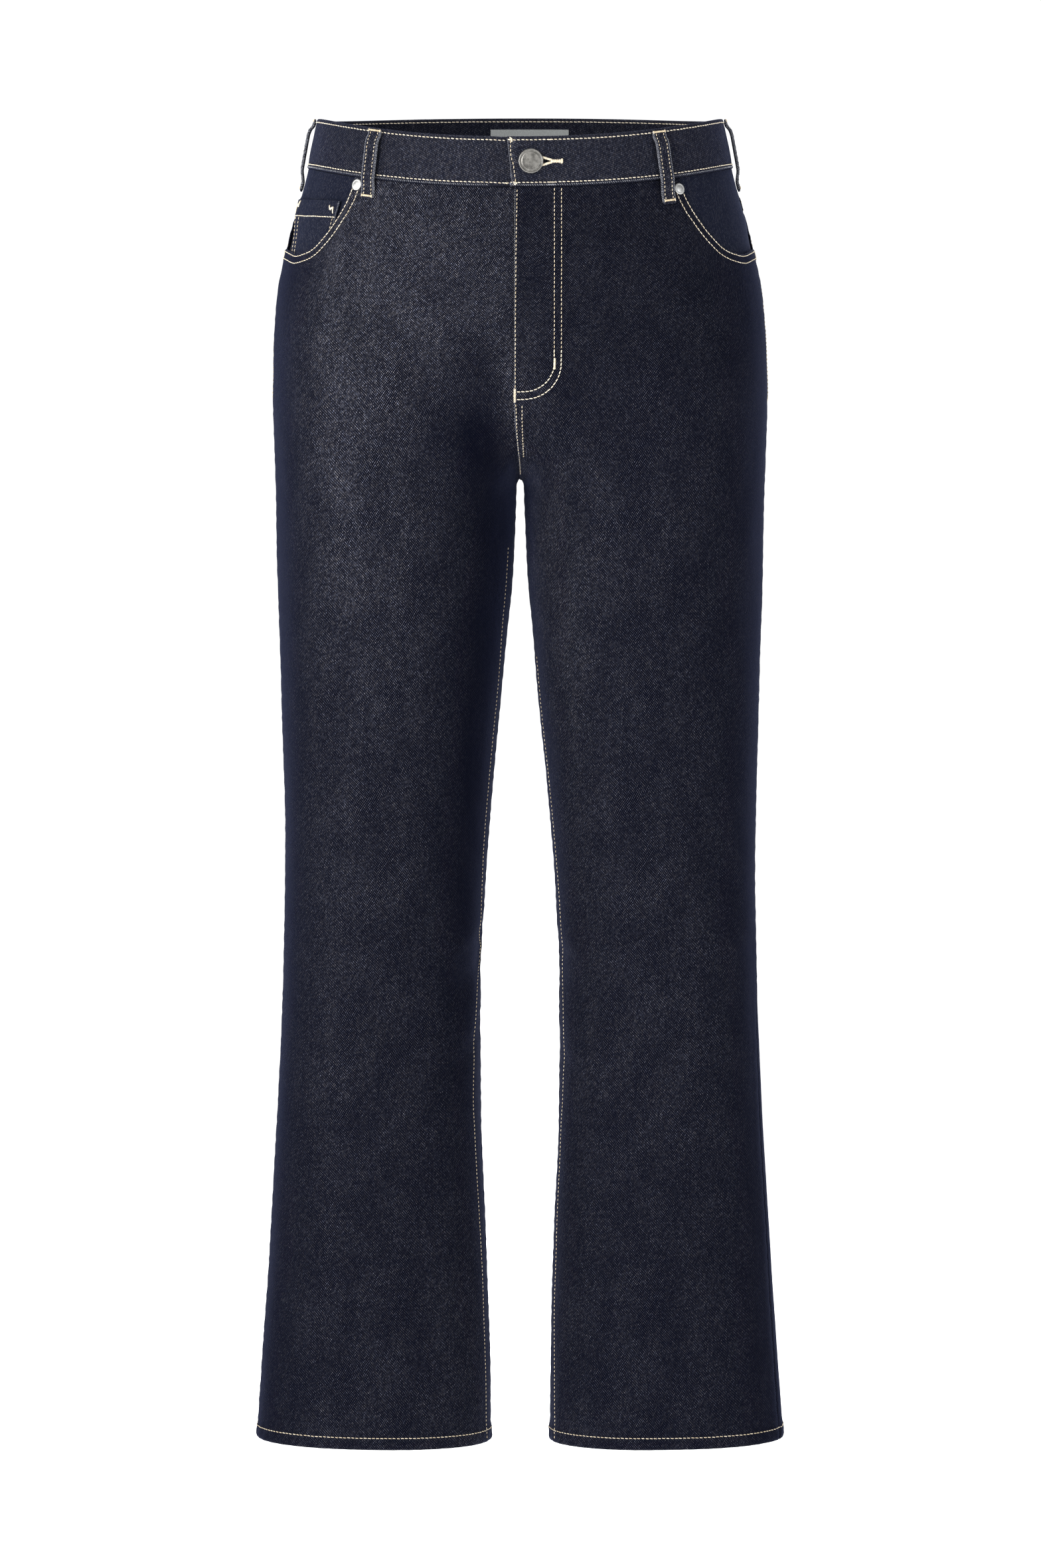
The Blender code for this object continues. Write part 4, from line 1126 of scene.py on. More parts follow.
def make_facing(side, mats):
    top = BAND_DROP + SEAM_GAP

    def place(across, down):
        around, drop = mix(EDGE_SHARE, FACING_SHARE, across), mix(top, FACING_DROP, down)
        return lifted(side, around, drop, -facing_sink(side, around, drop))

    name, materials = f"cloth_pocket_facing_{WORDS[side]}", [mats["facing"], mats["reverse"]]
    patch_cloth(name, place, FACING_GRID, side, CLOTH, materials, -side)


def coin_place(across, down, lift=0.0):
    top, foot = COIN_ROWS
    drop = mix(mix(top[0], top[1], across), mix(foot[0], foot[1], across), down)
    around = mix(mix(top[2], top[3], across), mix(foot[2], foot[3], across), down)
    return lifted(-1, around, drop, lift + FACING_SINK[-1] - COIN_SINK - facing_sink(-1, around, drop))


COIN_GRID = (56, 64, 0.16)
COIN_EDGE_TURNING = (0.0004, 0.006, 0.009)
COIN_MOUTH_TURNING = (0.0005, 0.012, 0.016)
COIN_WAVE = 0.0003


def make_coin_pocket(mats):
    def relief(across, down):
        edge, mouth = min(across, 1.0 - across) * COIN_WIDTH, down * COIN_DEPTH
        lift = turning_height(COIN_EDGE_TURNING, edge) + turning_height(COIN_MOUTH_TURNING, mouth)
        lift -= roll_depth(PATCH_ROLL, min(edge, mouth))
        return lift + COIN_WAVE * math.sin(across * 9.0 + 1.0) * math.exp(-down * 5.0)

    materials = [mats["facing"], mats["reverse"]]
    patch_cloth("cloth_coin_pocket", coin_place, COIN_GRID, -1, CLOTH, materials, 1, relief)


def pocket_place(side, across, down, lift=POCKET_CLOTH + POCKET_GAP):
    """A place on a back pocket: across runs from its outer to its inner edge, down from its mouth."""
    aside = 2.0 * across - 1.0
    middle = POCKET_FROM_SIDE + POCKET_TOP_WIDTH / 2.0
    half = mix(POCKET_TOP_WIDTH, POCKET_FOOT_WIDTH, down) / 2.0
    depth = down * (POCKET_SIDE_DEPTH + POCKET_POINT_DEPTH * (1.0 - abs(aside)))
    length = middle + aside * half - depth * POCKET_LEAN
    drop = POCKET_TOP_DROP + depth + (middle + aside * half) * POCKET_LEAN
    return lifted(side, around_at_length(side, "back", length, drop), drop, lift)


POCKET_GRID = (60, 60, 0.34)
POCKET_EDGE_TURNING = (0.0003, 0.008, 0.011)
POCKET_MOUTH_TURNING = (0.0004, 0.009, 0.012)


def make_back_pocket(side, mats):
    def place(across, down):
        return pocket_place(side, across, down)

    def relief(across, down):
        edge = min(min(across, 1.0 - across) * POCKET_TOP_WIDTH, (1.0 - down) * POCKET_SIDE_DEPTH)
        mouth = down * POCKET_SIDE_DEPTH
        lift = turning_height(POCKET_MOUTH_TURNING, mouth) + turning_height(POCKET_EDGE_TURNING, edge)
        lift -= roll_depth(PATCH_ROLL, min(edge, mouth))
        return lift + 0.0006 * unevenness(across * 4.0, down * 4.0, side * 5.0)

    name, materials = f"cloth_back_pocket_{WORDS[side]}", [mats["denim"], mats["reverse"]]
    patch_cloth(name, place, POCKET_GRID, -side, POCKET_CLOTH, materials, side, relief)


# ======== inside the seams

ALLOWANCE = 0.0090
ALLOWANCE_CLOTH = 0.0009
ALLOWANCE_GAP = 0.0003
SEAM_HALF = 0.0020


def beside(side, around, drop, distance):
    """How far around the cloth lies at a distance from a place: forward, or backward if it is negative."""
    start = form_point(side, around, drop)
    low, high = 0.0, 0.4
    for _ in range(14):
        middle = (low + high) / 2.0
        there = form_point(side, around + math.copysign(middle, distance), drop)
        if (there - start).length < abs(distance):
            low = middle
        else:
            high = middle
    return around + math.copysign((low + high) / 2.0, distance)


def seam_rows(across, which, start, end, count, gather=1.0):
    """Places across a seam that runs down the body, row by row: closer at its end where gather is over 1."""
    return [across(which, mix(end, start, (1.0 - i / count) ** gather)) for i in range(count + 1)]


ACROSS_SEAM = (-ALLOWANCE, -SEAM_HALF, SEAM_HALF, ALLOWANCE)


def across_side_seam(side, drop):
    seam = outseam(side, drop)
    return [(side, beside(side, seam, drop, distance), drop) for distance in ACROSS_SEAM]


def across_inseam(side, drop):
    return [
        (side, around_beside(side, abs(distance), drop, 1 if distance > 0.0 else -1), drop)
        for distance in ACROSS_SEAM
    ]


def across_centre(direction, drop):
    places = [(1 if distance > 0.0 else -1, abs(distance)) for distance in ACROSS_SEAM]
    return [(side, around_beside(side, distance, drop, direction), drop) for side, distance in places]


HEM_ALLOWANCE_UPS = (HEM_DEPTH, 0.0110, 0.0060, 0.0010)
FOOT_ALLOWANCE_DROPS = (BAND_DROP - 0.0016, BAND_DROP + 0.0020, BAND_DROP + 0.0060, BAND_DROP + 0.0100)
FOOT_ALLOWANCE_DEPTH = 0.0028
FOOT_ALLOWANCE_AROUND = (0.92, -0.9995)
FLY_FOOT_DROP = 0.2150


def make_allowances(mats):
    """The turned edges inside: over every seam, under the waistband's foot and up inside the hems."""
    parts = ("front", "back", "yoke", "pocket_facing")
    sides = {side: surface_of(*[f"cloth_{part}_{word}" for part in parts]) for side, word in SIDES}
    points, faces, uv = [], [], []

    def strip(rows, depth, plain=False):
        """A strip of cloth across rows of places, under the pieces themselves or, if plain, the form."""
        first, along, before = len(points), 0.0, None
        for row in rows:
            outer = []
            for side, around, drop in row:
                point, _, _, normal = frame_at(side, around, drop)
                hit = None if plain else sides[side].ray_cast(point + normal * 0.0025, -normal, 0.0060)[0]
                sunk = depth
                if 0.0 <= around <= FACING_SHARE and drop < FACING_DROP:
                    sunk = max(depth, facing_sink(side, around, drop) + CLOTH + ALLOWANCE_GAP)
                outer.append(((hit or point) - normal * sunk, normal))
            middle = (outer[1][0] + outer[2][0]) / 2.0
            along += (middle - before).length if before else 0.0
            before = middle
            inner = [place - normal * ALLOWANCE_CLOTH for place, normal in outer[::-1]]
            ring = [place for place, _ in outer] + inner
            points.extend(ring)
            uv.extend(((place - ring[0]).length, -along) for place in ring)
        faces.extend(ring_faces(first, len(rows), 2 * len(rows[0])))

    near, far = CLOTH + ALLOWANCE_GAP, CLOTH + 2.0 * ALLOWANCE_GAP + ALLOWANCE_CLOTH
    top, crotch, hem = BAND_DROP + 0.001, CROTCH_DROP - 0.0004, HEM_DROP - 0.014
    for side in (-1, 1):
        strip([
            [(side, -share, yoke_line(side, share) + offset) for offset in ACROSS_SEAM]
            for share in spread(0.001, 0.999, 60)
        ], near)
        strip(seam_rows(across_side_seam, side, top, hem, 190), far)
        strip(seam_rows(across_inseam, side, CROTCH_DROP + 0.001, hem, 150), near)
        round_the_hem = [("front", share) for share in spread(0.0, 1.0, 60)]
        round_the_hem += [("back", share) for share in spread(0.0, 1.0, 60)[::-1]]
        arounds = [around_of(side, face, share, HEM_DROP - HEM_DEPTH) for face, share in round_the_hem]
        strip([[(side, around, HEM_DROP - up) for up in HEM_ALLOWANCE_UPS] for around in arounds], near)
    strip(seam_rows(across_centre, -1, top, crotch, 90, 2.0), far)
    strip(seam_rows(across_centre, 1, FLY_FOOT_DROP, crotch, 40, 1.6), far)
    arounds = spread(*FOOT_ALLOWANCE_AROUND, 150)
    round_the_foot = [(-1, around) for around in arounds] + [(1, around) for around in arounds[::-1]]
    strip(
        [[(side, around, drop) for drop in FOOT_ALLOWANCE_DROPS] for side, around in round_the_foot],
        FOOT_ALLOWANCE_DEPTH, plain=True,
    )
    item = mesh_object("seam_allowances", points, faces, [mats["reverse"]])
    set_uv(item, uv)
    set_point_values(item, "wear", [0.1] * len(points))
    face_outwards(item)
    smooth_and_keep(item, 50.0)


# ======== waistband

def side_of_centre(x, face="front"):
    return 1 if x > CENTRE_SHIFT_ROWS[face][0] else -1


BAND_QUARTER_PARTS = 64
LAP_RAMP_PARTS = 6


def band_stations():
    """Places along the waistband: side, around at its top and foot, and how far it is sunk."""
    mid = BAND_DROP / 2.0
    lap = BAND_CLOTH + SEAM_GAP
    stations = []

    def at_x(x, sink):
        side = side_of_centre(x)
        around = around_at_x(side, x, mid)
        stations.append((side, around, around, sink))

    for x in np.arange(LAP_UNDER_X, LAP_RAMP_X[0], -0.003):
        at_x(float(x), lap)
    for k, x in enumerate(spread(*LAP_RAMP_X, LAP_RAMP_PARTS)):
        at_x(x, lap * fade(0.0, 1.0, k / LAP_RAMP_PARTS))
    front_end = around_at_x(-1, -0.030, mid)
    parts = BAND_QUARTER_PARTS
    fronts = [front_end * (1.0 - k / parts) for k in range(parts)]
    backs = [-k / parts for k in range(parts + 1)]
    stations += [(-1, around, around, 0.0) for around in fronts + backs]
    stations += [(1, around, around, 0.0) for around in backs[-2::-1] + fronts[-2::-1]]
    for x in np.arange(0.027, LAP_END_X[0] + 0.002, -0.0022):
        at_x(float(x), 0.0)
    for share in (0.5, 1.0):
        top, foot = (around_at_x(-1, mix(-0.0078, end, share), mid) for end in LAP_END_X)
        stations.append((-1, top, foot, 0.0))
    return stations


def outer_stations():
    """The waistband's stations on its outer turn, from the wearer's right of the fly to the lap's end."""
    stations = [row for row in band_stations() if row[3] == 0.0]
    return stations[next(i for i, row in enumerate(stations) if row[0] < 0):]


BAND_EDGE = 0.0015
BAND_ROWS = 12
TURN_ROWS = 5
BAND_PUFF = 0.0003
BAND_UNEVEN = 0.00035
BAND_PULL = 0.00025


def band_section(side, around_top, around_foot, sink, station):
    """One ring of the waistband and its v: up its face, over its fold, down its inside, round its foot."""
    outside, middles, inside = [], [], []
    for i in range(BAND_ROWS + 1):
        share = mix(BAND_EDGE, BAND_DROP - BAND_EDGE, i / BAND_ROWS) / BAND_DROP
        around = mix(around_top, around_foot, share)
        point, _, down, normal = frame_at(side, around, share * BAND_DROP)
        puff = BAND_PUFF * math.sin(math.pi * i / BAND_ROWS)
        puff += BAND_UNEVEN * unevenness(station * 0.14, i * 0.18, 2.0)
        pulled = hump(i - 0.8, 0.9) + hump(i - BAND_ROWS + 0.8, 0.9)
        puff = (puff - BAND_PULL * pulled) * (1.0 - min(1.0, sink / BAND_CLOTH))
        outside.append((point + normal * (BAND_PROUD - sink + puff), -share * BAND_DROP))
        inside.append((point + normal * (BAND_PROUD - sink - BAND_CLOTH), 0.01 + share * BAND_DROP))
        middles.append((point + normal * (BAND_PROUD - sink - BAND_CLOTH / 2.0), down, normal))

    def turn(i, up, v):
        """Half a circle over the fold, or round the foot where up is -1."""
        middle, down, normal = middles[i]
        arc = []
        for k in range(1, TURN_ROWS + 1):
            angle = math.pi * k / (TURN_ROWS + 1)
            towards = normal * math.cos(angle) * up - down * up * math.sin(angle)
            arc.append((middle + towards * (BAND_CLOTH / 2.0), v + 0.0015 * up * k))
        return arc

    return outside[::-1] + turn(0, 1.0, 0.0) + inside + turn(BAND_ROWS, -1.0, -2.0 * BAND_DROP)


def band_wear_and_painted_light(k, around, side, before_end):
    """How worn the waistband is at a point of its ring: most on its fold and at its lapped end. Its front is
    paler on the wearer's right than on the left: painted highlight where the key light falls.
    """
    fold = 0.35 if BAND_ROWS < k <= BAND_ROWS + TURN_ROWS else 0.0
    lap = 0.60 * fade(3, 7, before_end)
    outside = 1.0 if k <= BAND_ROWS + TURN_ROWS else 0.25
    # the wearer's right front gets about twice the left's: painted highlight of the key light's side
    front = 0.30 * smoothstep(0.25, 0.75, around) * (1.15 if side < 0 else 0.55)
    return (0.12 + front + 0.10 * (around < -0.3)) * outside + fold + lap


def make_band(mats):
    stations = band_stations()
    rings = [band_section(*station, number) for number, station in enumerate(stations)]
    points = np.array([[tuple(point) for point, _ in ring] for ring in rings])
    count, size = points.shape[:2]
    steps = np.linalg.norm(np.diff(points[:, BAND_ROWS // 2], axis=0), axis=1)
    along = np.concatenate([[0.0], np.cumsum(steps)])
    item = mesh_object("cloth_waistband", points.reshape(-1, 3), ring_faces(0, count, size), [mats["band"]])
    set_uv(item, [(-length, v) for length, ring in zip(along, rings) for _, v in ring])
    set_point_values(item, "wear", [
        band_wear_and_painted_light(k, around, side, count - i)
        for i, (side, around, _, _) in enumerate(stations)
        for k in range(size)
    ])
    face_outwards(item)
    cut_buttonhole(item)
    smooth_and_keep(item, 45.0)


def place_on_cloth(side, around, drop, lift):
    """A matrix that stands Z on the cloth, with Y up it."""
    point, _, down, normal = frame_at(side, around, drop)
    across = (-down).cross(normal).normalized()
    turn = Matrix((across, normal.cross(across), normal)).transposed().to_4x4()
    return Matrix.Translation(point + normal * lift) @ turn


def button_place():
    mid = BAND_DROP / 2.0
    return place_on_cloth(1, around_at_x(1, BUTTON_X, mid), mid, BAND_PROUD)


def cut_buttonhole(band):
    """Cuts the eye and slit of the buttonhole, round under the button and drawn to a point."""
    deep, high, slit = -BAND_CLOTH - 0.0001, 0.0040, BUTTONHOLE_SLIT
    outline = []
    for degrees in spread(70.0, 290.0, 16):
        angle = math.radians(degrees)
        outline.append((BUTTONHOLE_EYE * math.cos(angle), BUTTONHOLE_EYE * math.sin(angle)))
    outline += [(BUTTONHOLE_WAIST, -BUTTONHOLE_HALF), (BUTTONHOLE_END, -slit)]
    outline += [(BUTTONHOLE_END, slit), (BUTTONHOLE_WAIST, BUTTONHOLE_HALF)]
    points = [button_place() @ Vector((x, y, z)) for z in (deep, high) for x, y in outline]
    cutter = mesh_object("buttonhole_cutter", points, ring_faces(0, 2, len(outline)), [])
    hole = band.modifiers.new("buttonhole", "BOOLEAN")
    hole.operation = "DIFFERENCE"
    hole.solver = "EXACT"
    hole.object = cutter
    apply_modifiers(band)
    bpy.data.objects.remove(cutter, do_unlink=True)


# ======== belt loops and label

def loop_rise(share, drop):
    """Lift of a loop's outer face: flat at its ends, standing off the waistband between them."""
    ground = BAND_PROUD * (1.0 - smoothstep(BAND_DROP + 0.001, BAND_DROP + 0.009, drop))
    return ground + read_table(LOOP_GAP_ROWS, 1, share) + LAY_GAP + LOOP_CLOTH


# across, as a share of the half width; up, as a share of the thickness
LOOP_SECTION = (
    (-1.00, -0.55), (-0.97, -0.22), (-0.86, 0.00), (-0.72, 0.03), (-0.60, -0.12), (-0.46, -0.03),
    (-0.20, 0.02), (0.20, 0.02), (0.46, -0.03), (0.60, -0.12), (0.72, 0.03), (0.86, 0.00), (0.97, -0.22),
    (1.00, -0.55), (0.95, -0.90), (0.80, -1.00), (-0.80, -1.00), (-0.95, -0.90),
)
LOOP_PARTS = 44
LOOP_PART_LENGTH = 0.00135


def loop_spine(name):
    """Centre, across and outward vectors down a belt loop's outer face."""
    spine = []
    _, side, around_top, around_foot, top, foot = next(row for row in LOOP_ROWS if row[0] == name)
    for share in spread(0.0, 1.0, LOOP_PARTS):
        drop = mix(top, foot, share)
        if name == "belt_loop_back_centre":
            point = (form_point(1, -1.0, drop) + form_point(-1, -1.0, drop)) / 2.0
            normal, across = Vector((0.0, 1.0, 0.0)), Vector((-1.0, 0.0, 0.0))
        else:
            point, across, _, normal = frame_at(side, mix(around_top, around_foot, share), drop)
            across = across * -side
        spine.append((point + normal * loop_rise(share, drop), across, normal))
    return spine


def make_loop(name, mats):
    spine = loop_spine(name)
    points, uv, wear = [], [], []
    for i, (centre, across, normal) in enumerate(spine):
        tuck = 1.0 - 0.55 * max(0.0, 1.0 - min(i, LOOP_PARTS - i) / 1.6)
        ripple = 0.00014 * math.sin(i * 1.9 + len(name))
        for wide, high in LOOP_SECTION:
            outside = high > -0.3
            up = mix(-0.5, high, tuck) * LOOP_CLOTH + (ripple if outside else 0.0)
            points.append(centre + across * (wide * LOOP_WIDTH / 2.0) + normal * up)
            uv.append((wide * LOOP_WIDTH / 2.0, -i * LOOP_PART_LENGTH))
            wear.append(0.30 + (0.45 if outside and abs(wide) > 0.80 else 0.0))
    faces = [
        face[:1] + face[:0:-1] if len(face) == 4 else face[::-1]
        for face in ring_faces(0, len(spine), len(LOOP_SECTION))
    ]
    item = mesh_object(f"cloth_{name}", points, faces, [mats["band"]])
    set_uv(item, uv)
    set_point_values(item, "wear", wear)
    face_outwards(item)
    smooth_and_keep(item, 50.0)


LABEL_GRID = (40, 14, 0.0)


def make_label(mats):
    inside = BAND_PROUD - BAND_CLOTH - SEAM_GAP
    shift = CENTRE_SHIFT_ROWS["back"][0]

    def place(across, down):
        offset = mix(-LABEL_WIDTH / 2.0, LABEL_WIDTH / 2.0, across)
        side = -1 if offset < 0.0 else 1
        drop = mix(*LABEL_DROPS, down)
        return lifted(side, around_at_x(side, shift + offset, drop, -1), drop, inside)

    def relief(across, down):
        return 0.0002 * unevenness(across * 7.0, down * 3.0, 0.5)

    patch_cloth("cloth_waist_label", place, LABEL_GRID, 1, LABEL_CLOTH, [mats["label"]], 1, relief)


# ======== sewing

# share of its pitch that shows; thread radius; darkest tone; palest tone
STITCH_STYLES = {
    "plain": (0.70, THREAD_RADIUS, 0.30, 1.00), "mouth": (0.88, 0.00035, 0.00, 0.90),
    # inseam rows: tones set low, painted shade of the shadow between the legs
    "inseam_right": (0.60, 0.00030, -0.80, 0.30), "inseam_left": (0.60, 0.00030, -0.40, 0.50),
    "fly_down": (0.70, 0.00031, -0.45, 0.40), "fly_curve": (0.84, THREAD_RADIUS, 0.50, 1.00),
    "fly_edge": (0.66, 0.00033, -0.30, 0.60), "hem": (0.80, 0.00032, -0.35, 0.60),
    "band": (0.76, THREAD_RADIUS, 0.30, 1.00), "band_inside": (0.86, 0.00036, 0.30, 1.00),
    "band_end": (0.70, 0.00033, -0.20, 0.60), "loop": (0.62, 0.00032, -0.20, 0.70),
    # the coin pocket's side rows: tones set low, painted shade of the shadow they lie in
    "coin_mouth": (0.90, THREAD_RADIUS, 0.30, 1.00), "coin_outer": (0.66, 0.00032, -0.30, 0.40),
    "coin_inner": (0.66, 0.00028, -0.30, 0.40),
}
KNOT_TONES = (0.50, 1.00)


class Sewing:
    """Stitches gathered into one mesh: each is a short bowed thread whose ends dive into the cloth."""

    SIDES = 6
    # share of the length; height in thread radii; share of the radius
    ALONG = ((0.0, -0.9, 0.55), (0.14, 0.35, 0.92), (0.5, 0.75, 1.0), (0.86, 0.35, 0.92), (1.0, -0.9, 0.55))

    def __init__(self, name, seed):
        self.name, self.random = name, random.Random(seed)
        self.points, self.faces, self.tones = [], [], []
        self.tone_range = STITCH_STYLES["plain"][2:]

    def stitch(self, start, end, normal, radius=THREAD_RADIUS, raise_by=0.0):
        run = end - start
        if run.length < 1e-6:
            return
        along = run.normalized()
        across = along.cross(normal).normalized()
        up = across.cross(along).normalized()
        tone = mix(*self.tone_range, self.random.random())
        first = len(self.points)
        for share, height, thick in self.ALONG:
            centre = start + run * share + up * (height * radius + raise_by)
            for k in range(self.SIDES):
                angle = 2.0 * math.pi * k / self.SIDES
                offset = across * math.cos(angle) + up * math.sin(angle)
                self.points.append(centre + offset * (radius * thick))
                self.tones.append(tone)
        self.faces += ring_faces(first, len(self.ALONG), self.SIDES)

    def knot(self, start, end, normal, surface, radius=THREAD_RADIUS, raise_by=0.0):
        """A stitch between two places that are first landed on a surface."""
        self.stitch(land(surface, start, normal)[0], land(surface, end, normal)[0], normal, radius, raise_by)

    def row(self, path, surface, style="plain", pitch=STITCH_PITCH):
        """Stitches along a path of points and normals, laid on a surface."""
        fill, radius, *self.tone_range = STITCH_STYLES[style]
        lengths = [0.0]
        for (a, _), (b, _) in zip(path, path[1:]):
            lengths.append(lengths[-1] + (b - a).length)
        total = lengths[-1]
        count = max(1, round(total / pitch))

        def at(length):
            length = min(total, max(0.0, length))
            i = 0
            while i < len(lengths) - 2 and lengths[i + 1] < length:
                i += 1
            share = (length - lengths[i]) / max(1e-9, lengths[i + 1] - lengths[i])
            point = path[i][0].lerp(path[i + 1][0], share)
            normal = path[i][1].lerp(path[i + 1][1], share).normalized()
            return land(surface, point, normal)

        for n in range(count):
            begin = total * n / count + self.random.uniform(-0.05, 0.05) * pitch
            length = fill * pitch * self.random.uniform(0.94, 1.06)
            a, normal = at(begin)
            b, _ = at(begin + length)
            aside = (b - a).normalized().cross(normal)
            drift = self.random.uniform(-1.0, 1.0) * STITCH_WOBBLE
            start, end = a + aside * (drift - STITCH_SLANT), b + aside * (drift + STITCH_SLANT)
            self.stitch(start, end, normal, radius)

    def bar(self, start, end, normal, across_length, surface, threads, radius=0.00032):
        """A bar tack: threads laid side by side, thick and slightly uneven."""
        run = end - start
        side = run.normalized().cross(normal).normalized()
        for n in range(threads):
            lean = self.random.uniform(-0.15, 0.15) * across_length
            centre, up = land(surface, start + run * ((n + 0.5) / threads), normal)
            half = side * (across_length / 2.0) * self.random.uniform(0.9, 1.08)
            slant = run.normalized() * lean * 0.3
            self.stitch(centre - half - slant, centre + half + slant, up, radius, raise_by=0.00010)

    def finish(self, material):
        item = mesh_object(self.name, self.points, self.faces, [material])
        set_point_values(item, "tone", self.tones)
        for face in item.data.polygons:
            face.use_smooth = True
        made[self.name] = item


def land(surface, point, normal):
    """Where a line down the normal meets a surface, and the surface's normal there."""
    hit, hit_normal, _, _ = surface.ray_cast(point + normal * 0.006, -normal, 0.012)
    if hit is None:
        return point, normal
    return hit, (hit_normal if hit_normal.dot(normal) > 0.3 else normal)


def surface_of(*names):
    """A search tree over the outer faces of some finished pieces."""
    points, faces = [], []
    for name in names:
        mesh = made[name].data
        first = len(points)
        points += [vertex.co.copy() for vertex in mesh.vertices]
        faces += [tuple(first + index for index in face.vertices) for face in mesh.polygons]
    return BVHTree.FromPolygons(points, faces)


def cloth_path(places):
    """Points and normals of the plain form along a list of (side, around, drop)."""
    path = []
    for side, around, drop in places:
        point, _, _, normal = frame_at(side, around, drop)
        path.append((point, normal))
    return path


def x_path(side_x_drops):
    """Points and normals on the front along a list of (x, drop)."""
    places = []
    for x, drop in side_x_drops:
        side = side_of_centre(x)
        places.append((side, around_at_x(side, x, drop), drop))
    return cloth_path(places)


def inset_path(path, distance):
    """A path moved sideways over the cloth: to its left, seen from outside, going along it."""
    moved = []
    for i, (point, normal) in enumerate(path):
        before = path[max(0, i - 1)][0]
        after = path[min(len(path) - 1, i + 1)][0]
        along = (after - before).normalized()
        moved.append((point + normal.cross(along).normalized() * distance, normal))
    return moved


def mouth_path(side, inset):
    """The pocket's mouth, from the side seam to its rivet, moved into the panel."""
    places = []
    for share in spread(0.003, MOUTH_SEWN_TO, 60):
        share += side * MOUTH_SHIFT * math.sin(math.pi * share) ** 2
        places.append((side, share, mouth_line(side, share)))
    return inset_path(cloth_path(places), inset * side)


def j_path(x_line, foot, corner):
    """The fly's J in two stretches: straight down, then round the corner and across to the centre seam."""
    turns, level = foot - corner - 0.012, foot - corner
    down = [(x_line, drop) for drop in spread(BAND_DROP + 0.0015, turns, 36)]
    line = [(x_line, drop) for drop in spread(turns, level, 4)]
    for angle in spread(0.0, math.pi / 2.0, 16)[1:]:
        line.append((x_line - corner * (1.0 - math.cos(angle)), foot - corner * (1.0 - math.sin(angle))))
    line += [(x, foot) for x in spread(line[-1][0], -0.0030, 6)[1:]]
    return x_path(down), x_path(line)


def smooth_line(rows, steps):
    """Places (x, drop) on a smooth curve through a table of (drop, x)."""
    return [(read_table(rows, 1, drop), drop) for drop in spread(rows[0][0], rows[-1][0], steps)]


def back_seam_path(distance, start, end, steps):
    """A row beside the back's centre seam, on the wearer's left of it."""
    return cloth_path([
        (1, around_beside(1, distance, drop, -1), drop) for drop in spread(start, end, steps)
    ])


# drop; how far in from the leg's inner outline
INSEAM_ROWS = {
    -1: (
        (0.350, 0.0044), (0.389, 0.0042), (0.477, 0.0030), (0.587, 0.0032), (0.664, 0.0017), (0.740, 0.0042),
        (0.806, 0.0063), (0.828, 0.0056), (0.971, 0.0037), (1.087, 0.0037),
    ),
    1: (
        (0.440, 0.0009), (0.499, 0.0013), (0.587, 0.0021), (0.719, 0.0031), (0.806, 0.0027), (0.828, 0.0018),
        (0.971, 0.0018), (1.040, 0.0030), (1.087, 0.0045),
    ),
}


def inseam_row(side):
    """The topstitch of the inseam, which turns a little on to the front as the leg hangs."""
    rows = INSEAM_ROWS[side]
    places = []
    for drop in spread(rows[0][0], rows[-1][0], 150):
        x = read_table(INNER_ROWS, 1, drop) + SEAM_GAP / 2.0 + read_table(rows, 1, drop)
        places.append((side, around_at_x(side, side * x, drop), drop))
    return cloth_path(places)


MOUTH_STITCH_INSETS = (0.0020, 0.0077)
J_LINES = ((J_INNER_X, J_INNER_FOOT, J_CORNER - 0.0056), (J_OUTER_X, J_OUTER_FOOT, J_CORNER))


def sew_fronts(mats):
    sewing = Sewing("sewing_front", 11)
    both = surface_of("cloth_front_left", "cloth_front_right")
    for side, word in SIDES:
        surface = surface_of(f"cloth_front_{word}")
        for inset in MOUTH_STITCH_INSETS:
            sewing.row(mouth_path(side, inset), surface, "mouth")
        sewing.row(inseam_row(side), surface, f"inseam_{word}")
    for x_line, foot, corner in J_LINES:
        for path, style in zip(j_path(x_line, foot, corner), ("fly_down", "fly_curve")):
            sewing.row(path, both, style)
    for row in FLY_ROWS:
        sewing.row(x_path(smooth_line(row, 40)), both, "fly_edge")
    sewing.finish(mats["thread"])


HEM_STITCH_DROP = HEM_DROP - 0.0099


def sew_hems(mats):
    sewing = Sewing("sewing_hems", 23)
    for side, word in SIDES:
        for face in ("front", "back"):
            places = [
                (side, around_of(side, face, share, HEM_STITCH_DROP), HEM_STITCH_DROP)
                for share in spread(0.0, 1.0, 60)
            ]
            sewing.row(cloth_path(places), surface_of(f"cloth_{face}_{word}"), "hem")
    sewing.finish(mats["thread"])


UNDER_FROM = 0.0017
UNDER_TO_X = -0.0255
INNER_ROW_TO = 0.80
LAP_ROW_BOW = 0.0012
BAND_STITCH_DROPS = (0.0031, BAND_DROP - 0.0034)
BAND_INSIDE_DROPS = (0.0026, BAND_DROP - 0.0034)


